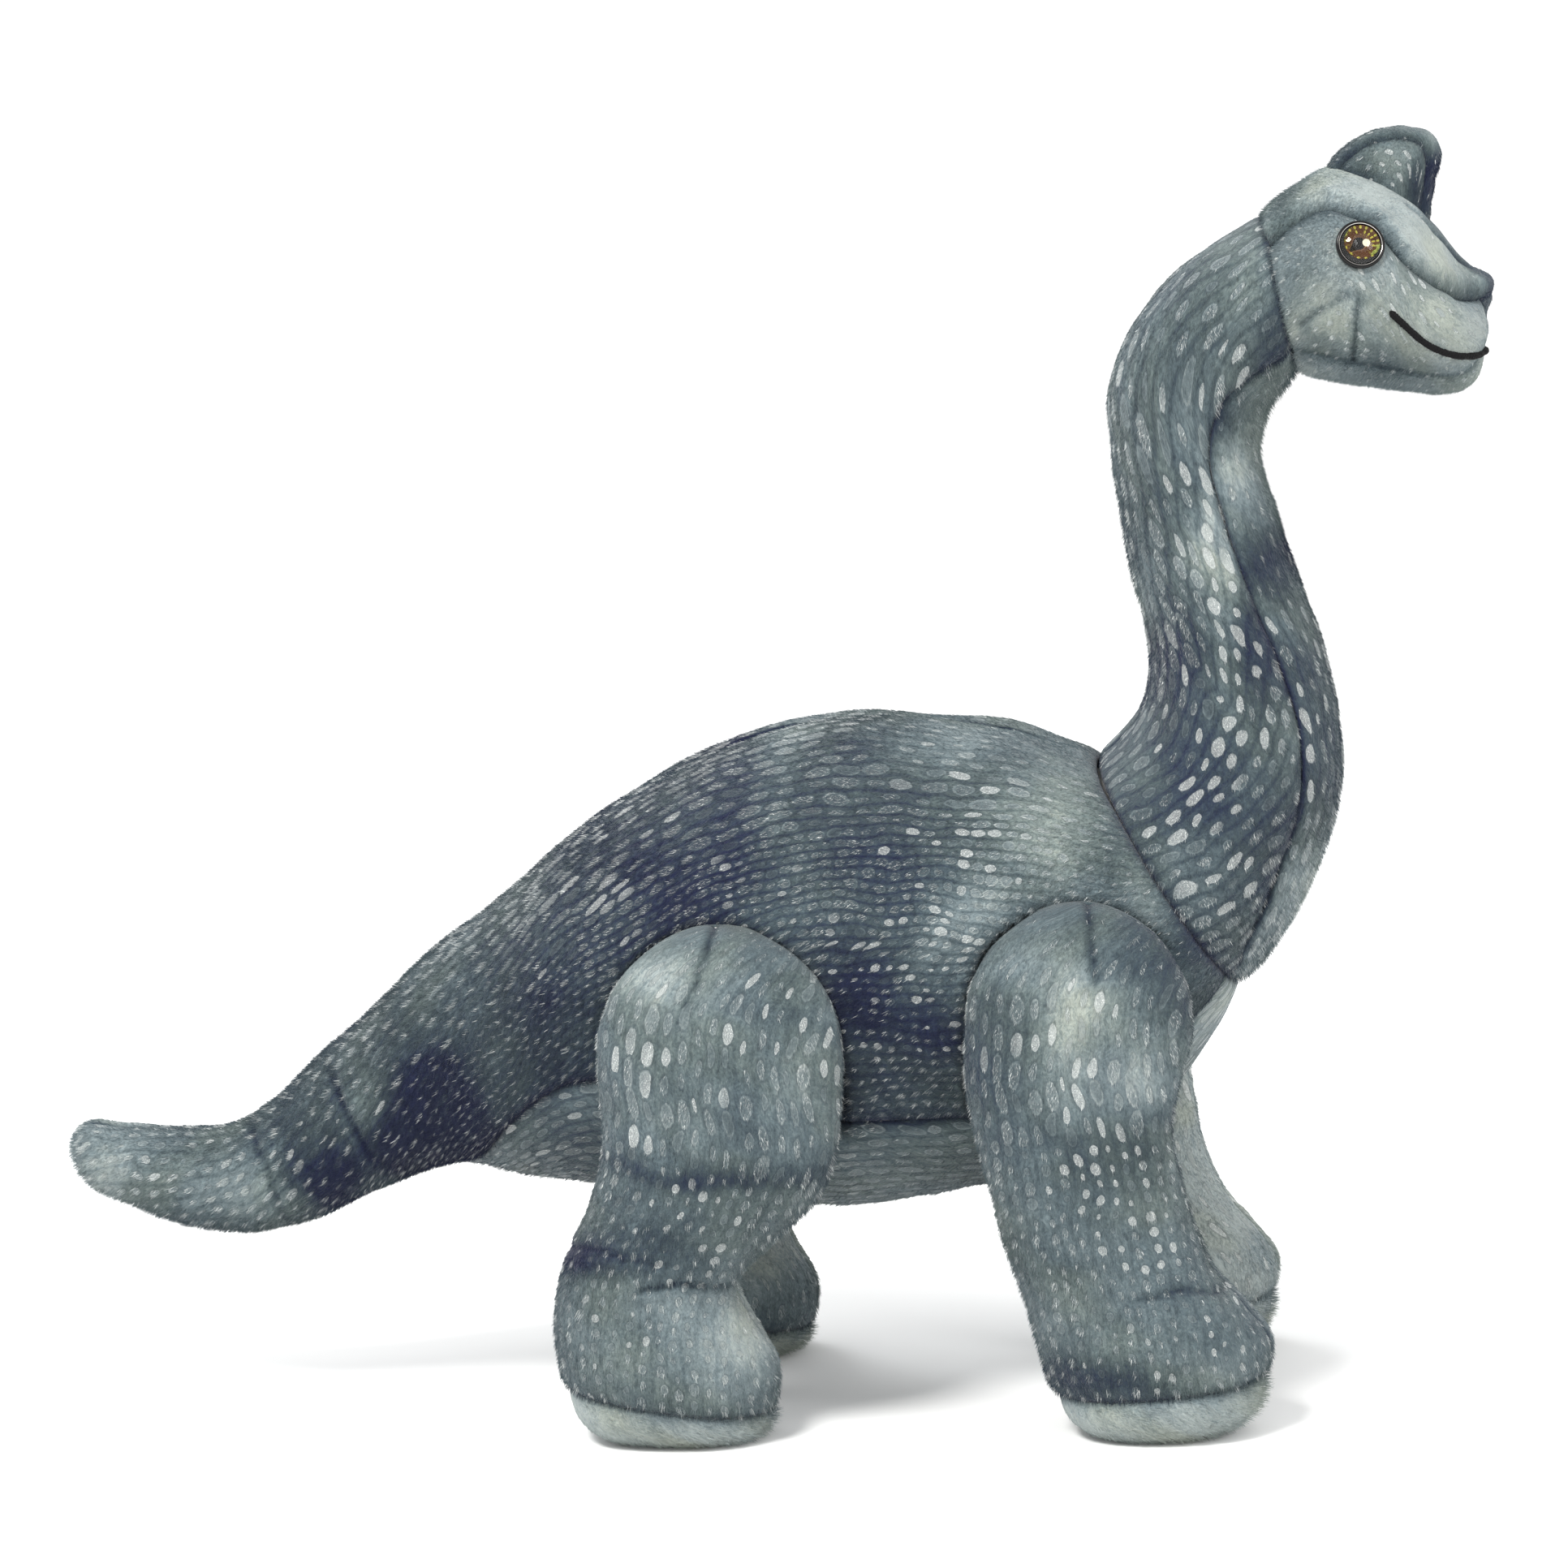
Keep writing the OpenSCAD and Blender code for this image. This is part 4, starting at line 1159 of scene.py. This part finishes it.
def shape_head(points):
    """Sockets round the eyes, full cheeks and two bumps for the nostrils."""
    middle, _, _, out = eye_frame("right")
    centre = np.array(middle) / MM
    mirrored = points.copy()
    mirrored[..., 1] = -np.abs(points[..., 1])
    away = mirrored - centre
    axis = np.array(out)
    along = (away * axis).sum(axis=-1)
    radial = np.linalg.norm(away - along[..., None] * axis, axis=-1)
    socket = np.exp(-((radial / 9.0) ** 2))
    flat = np.clip(along + 2.6, -3, 4)
    move = -axis * (socket * flat)[..., None]
    move[..., 1] *= np.sign(-points[..., 1])
    points = points + move
    x, y, z = points[..., 0], points[..., 1], points[..., 2]
    for side in (-1, 1):
        bump = np.exp(-((x - 224) / 6) ** 2 - ((y - side * 7.5) / 6) ** 2 - ((z - 344) / 5.5) ** 2)
        points = points + bump[..., None] * np.array([2.8, side * 0.8, 1.2])
    cheek = np.exp(-((x - 212) / 10) ** 2 - ((z - 334) / 9) ** 2)
    points[..., 1] += np.sign(y) * 1.3 * cheek * smoothstep(2, 14, np.abs(y))
    return points


def build_head():
    """The four panels of the head. Returns their surfaces, for the mouth to lie on."""
    cheek = {
        "angles": lambda row: (row[:, 6], row[:, 7]), "region": "head", "seams": (1.35, 0.9),
        "creases": CHEEK_CREASES,
    }
    top = {
        "angles": lambda row: (-row[:, 6], row[:, 6]), "region": "top", "seams": (1.35, 1.35),
        "creases": TOP_CREASES, "ridge": 1.5,
    }
    chin = {"angles": lambda row: under_angles(row, 7), "region": "head", "seams": (0.9, 0.9)}
    panels = [
        ("plush_head_right", "head_side_right", 71, 22000, cheek),
        ("plush_head_left", "head_side_left", 77, 22000, {**cheek, "left": True}),
        ("plush_head_top", "head_top_panel", 83, 17000, top),
        ("plush_chin", "chin_panel", 89, 12000, chin),
    ]
    surfaces = []
    for name, node, seed, count, cut in panels:
        panel = sewn_panel(
            name, head, seed=seed, pitch=0.85, end_seams=(0.35, 0), fade=(0, 12), shape=shape_head, **cut)
        dress(panel, VELOURS["head"])
        surfaces.append(BVHTree.FromObject(panel, bpy.context.evaluated_depsgraph_get()))
        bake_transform(panel)
        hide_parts(node)
        grow_pile(panel, count, (-1, 0, -0.5), length=1.8, seed=seed)
    return surfaces


def build_mouth(surfaces):
    """The embroidered line, laid on the cloth of both cheeks and round the snout."""
    line = np.array(MOUTH_LINE, float)
    right = []
    for turn in np.radians(np.linspace(104, 0, 60)):
        aim = np.array([math.cos(turn), -math.sin(turn), 0])
        z = line[-1, 1]
        for _ in range(6):
            start = Vector((np.array([205, 0, z]) + 60 * aim) * MM)
            hits = [surface.ray_cast(start, Vector(-aim)) for surface in surfaces]
            near = min((hit for hit in hits if hit[0] is not None), key=lambda hit: hit[3])
            spot = np.array(near[0]) / MM
            z = np.interp(spot[0], line[:, 0], line[:, 1])
        if spot[0] > line[0, 0]:
            right.append(spot)
    path = np.array(right + [p * [1, -1, 1] for p in right[-2::-1]])
    path = curve_through(path[::3], 220)
    run = unit(np.gradient(path, axis=0))
    outward = unit(np.cross(run, [0, 0, 1.0]))
    upward = np.cross(outward, run)
    lengths = distances_along(path)
    turn = np.linspace(0, 2 * np.pi, 14, endpoint=False)
    ends = np.minimum(lengths, lengths[-1] - lengths)
    fat = 1.05 * np.sqrt(np.clip(ends / 1.2, 0.02, 1))
    fat = fat * (1 + 0.10 * noise(np.stack([lengths, lengths * 0, lengths * 0], axis=-1), 1.6, 5))
    reach = fat[:, None] * (1 + 0.10 * np.sin(lengths[:, None] * 7.5 + turn[None, :] * 2))
    rings = (
        path[:, None] + outward[:, None] * (0.25 + np.cos(turn) * reach)[..., None]
        + upward[:, None] * (np.sin(turn) * reach)[..., None]
    )
    mouth = solid_from_rings("mouth_stitching", rings)
    lay_cloth(mouth, np.stack(np.broadcast_arrays(lengths[:, None], turn[None, :]), axis=-1))
    dress_rigid(mouth, thread_material(), "head", "mouth_thread")


def lathe(name, profile, side, flat_radius=None):
    """A round piece on the eye's axis, from a closed profile of radius and height over the iris. Its cloth
    coordinates are radius and turn, or flat shares of flat_radius."""
    middle, forward, up, out = (np.array(part) for part in eye_frame(side))
    turn = np.linspace(0, 2 * np.pi, 72, endpoint=False)
    profile = np.asarray(profile, float)
    radius, height = profile[:, :1], profile[:, 1:]
    ring = np.cos(turn)[:, None] * forward + np.sin(turn)[:, None] * up
    piece = solid_from_rings(name, middle / MM + radius[..., None] * ring[None] + height[..., None] * out)
    if flat_radius:
        places = [radius * np.cos(turn) / flat_radius, radius * np.sin(turn) / flat_radius]
    else:
        places = np.broadcast_arrays(radius, turn[None, :])
    lay_cloth(piece, np.stack(places, axis=-1))
    return piece


def build_eyes():
    """Safety eyes: a black back with a rounded rim, a painted iris under a clear dome, and a washer."""
    black, iris_paint, clear, washer = black_plastic(), iris_material(), clear_plastic(), white_plastic()
    iris_radius, dome_rise = 6.25, 2.3
    arc = np.linspace(math.pi / 2, 0, 9)
    rim = [(6.75 + 0.75 * math.cos(a), -0.25 + 0.75 * math.sin(a)) for a in arc]
    back = (
        [(0.05, -11), (1.9, -11), (1.9, -2.6), (5.5, -2.6), (7.2, -2.0)] + rim[::-1]
        + [(6.66, 0.47), (6.40, 0.36), (6.28, -0.25), (0.05, -0.25)]
    )
    disc = [(0.03, -0.2), (iris_radius, -0.2), (iris_radius, 0.02)]
    disc += [(r, 0.0) for r in np.linspace(6.1, 0.03, 14)]
    ball = (iris_radius**2 + dome_rise**2) / (2 * dome_rise)
    reach = math.asin(iris_radius / ball)
    low = 0.10 + dome_rise - ball
    dome = [(0.02, 0.06), (iris_radius, 0.06)]
    dome += [(ball * math.sin(a), low + ball * math.cos(a)) for a in np.linspace(reach, 0.004, 26)]
    for side in ("right", "left"):
        shell = lathe(f"eye_back_{side}", back, side)
        painted = lathe(f"eye_painted_{side}", disc, side, iris_radius)
        lens = lathe(f"eye_lens_{side}", dome, side)
        dress_rigid(shell, black, "head", f"eye_shell_{side}")
        dress_rigid(painted, iris_paint, "head", f"eye_iris_{side}")
        dress_rigid(lens, clear, "head", f"eye_dome_{side}")
        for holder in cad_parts[f"eye_washer_{side}"].material_slots:
            holder.material = washer


def make_crest_piece(name, points, rim, region, seed, node, count):
    """One piece of the crest's cloth. rim is how far each point lies from its seam."""
    normals = grid_normals(points)
    normals *= np.sign(np.sum(normals * (points - [197, 0, 376])))
    # The third channel is painted shade near the crest's seams.
    dye_and_painted_light = np.stack([
        tone_at(points, region, seed), spot_size_at(points, region, seed), np.exp(-rim / 1.6),
        painted_glint_at(points, region),
    ], axis=-1)
    cloth_uv = np.stack([run_length(points, 0), run_length(points, 1) + 30], axis=-1)
    piece = shell_from_grid(name, points, points - normals * CREST_CLOTH, dye_and_painted_light, cloth_uv)
    dress_rigid(piece, VELOURS["crest"], "head", node)
    grow_pile(piece, count, (-0.6, 0, -1), length=2.2, seed=seed)

def build_crest():
    """The stuffed crest: two flat sides, and a rounded gusset over its edge from back to front."""
    seam = curve_through(CREST_SEAM, 90)
    run = unit(np.gradient(seam, axis=0))
    outward = np.stack([-run[:, 1], run[:, 0]], axis=1)
    lengths = distances_along(seam)
    height = np.interp(lengths / lengths[-1], [0, 0.12, 0.3, 0.5, 0.62, 0.72, 0.85, 1], CREST_EDGE)
    height = height + 0.4 * noise(np.stack([lengths] * 3, axis=-1), 7, 3)

    turn = np.linspace(0, np.pi, 34)
    turn = turn + 0.12 * np.sin(2 * turn)
    dip = np.exp(-np.minimum(turn, np.pi - turn) * 5 / 1.1)
    out_by = np.sin(turn)[None, :] ** 0.7 * height[:, None] - 1.5 * dip
    y = -CREST_HALF * np.cos(turn)[None, :] * np.ones((len(seam), 1)) * (1 - 0.12 * dip)
    points = np.stack([
        seam[:, None, 0] + outward[:, None, 0] * out_by, y, seam[:, None, 1] + outward[:, None, 1] * out_by,
    ], axis=-1)
    points += 0.35 * noise(points, 6, 9)[..., None] * grid_normals(points)
    across = run_length(points, 1)
    rim = np.minimum(across, across[:, -1:] - across)
    make_crest_piece("plush_crest_gusset", points, rim, "crest_edge", 97, "crest_gusset", 5000)

    # Each side is drawn from its seam to its foot, where it meets the head
    foot = curve_through([[181, 372], [189, 370], [197, 365], [205, 357]], len(seam))
    foot = foot * 0.75 + np.array(CREST_MIDDLE) * 0.25
    share = np.linspace(0, 1, 34)[None, :, None]
    plane = seam[:, None] * (1 - share) + foot[:, None] * share
    away = np.linalg.norm(plane - seam[:, None], axis=-1)
    bulge = CREST_HALF + 1.6 * (1 - np.exp(-away / 5)) - 1.7 * np.exp(-away / 1.3)
    for side, sign in (("right", -1), ("left", 1)):
        grid = np.stack([plane[..., 0], sign * bulge, plane[..., 1]], axis=-1)
        grid += 0.35 * noise(grid, 7, 10)[..., None] * np.array([0, sign, 0])
        rim = run_length(grid, 1)
        make_crest_piece(f"plush_crest_{side}", grid, rim, "crest", 101, f"crest_side_{side}", 3500)


# ---------------------------------------------------------------------------------------------------------
# Stuffing
def pad(piece, body_name, node, fill):
    dress_rigid(piece, FIBRE, body_name, node)


def stuffing(name, tube, body_name, node, inset=5, trim=(6, 6), shape=None, left=False):
    """A lump of fibre that fills a tube, a little smaller than its cloth."""
    nu, nv = max(int((tube.length - trim[0] - trim[1]) / 3.5), 8), 56
    places = np.linspace(trim[0], tube.length - trim[1], nu)
    angles = np.linspace(0, 360, nv, endpoint=False)
    points = tube.surface(np.repeat(places[:, None], nv, axis=1), np.repeat(angles[None], nu, axis=0), inset)
    centre = points.mean(axis=1, keepdims=True)
    if shape is not None:
        points = shape(points, inset)
    lumps = 1 - 0.012 * (1 + noise(points, 12, 7)) - 0.008 * (1 + noise(points, 5, 8))
    points = centre + (points - centre) * lumps[..., None]
    if left:
        points = points * [1, -1, 1]
    pad(solid_from_rings(name, points), body_name, node, 0.9)


def build_stuffing():
    stuffing("fibre_torso", torso, "torso", "torso_stuffing", trim=(9, 10), shape=press_by_legs)
    stuffing("fibre_tail", tail, "tail", "tail_stuffing", trim=(6, 4))
    stuffing("fibre_neck", neck, "neck", "neck_stuffing", trim=(12, 6))
    stuffing("fibre_head", head, "head", "head_stuffing", inset=9, trim=(6, 8))
    for end, tube in (("hind", hind_leg), ("fore", fore_leg)):
        for side in ("right", "left"):
            stuffing(
                f"fibre_{end}_leg_{side}", tube, f"{end}_leg_{side}", f"{end}_leg_stuffing_{side}",
                left=side == "left",
            )
    outline = curve_through(CREST_SEAM, 40)
    foot = curve_through([[206, 364], [199, 369.5], [190, 374], [183, 376]], 16)
    loop = np.concatenate([outline, foot])
    middle = np.array(CREST_MIDDLE)
    layers = []
    for y, share in ((-4.2, 0.6), (-3.2, 0.84), (0, 0.93), (3.2, 0.84), (4.2, 0.6)):
        flat = middle + (loop - middle) * share
        layers.append(np.stack([flat[:, 0], np.full(len(flat), y), flat[:, 1]], axis=-1))
    pad(solid_from_rings("fibre_crest", np.array(layers)), "head", "crest_stuffing", 0.8)


aim_camera()
light_studio()
lay_floor()
build_body()
build_neck()
build_legs()
build_mouth(build_head())
build_eyes()
build_crest()
build_stuffing()
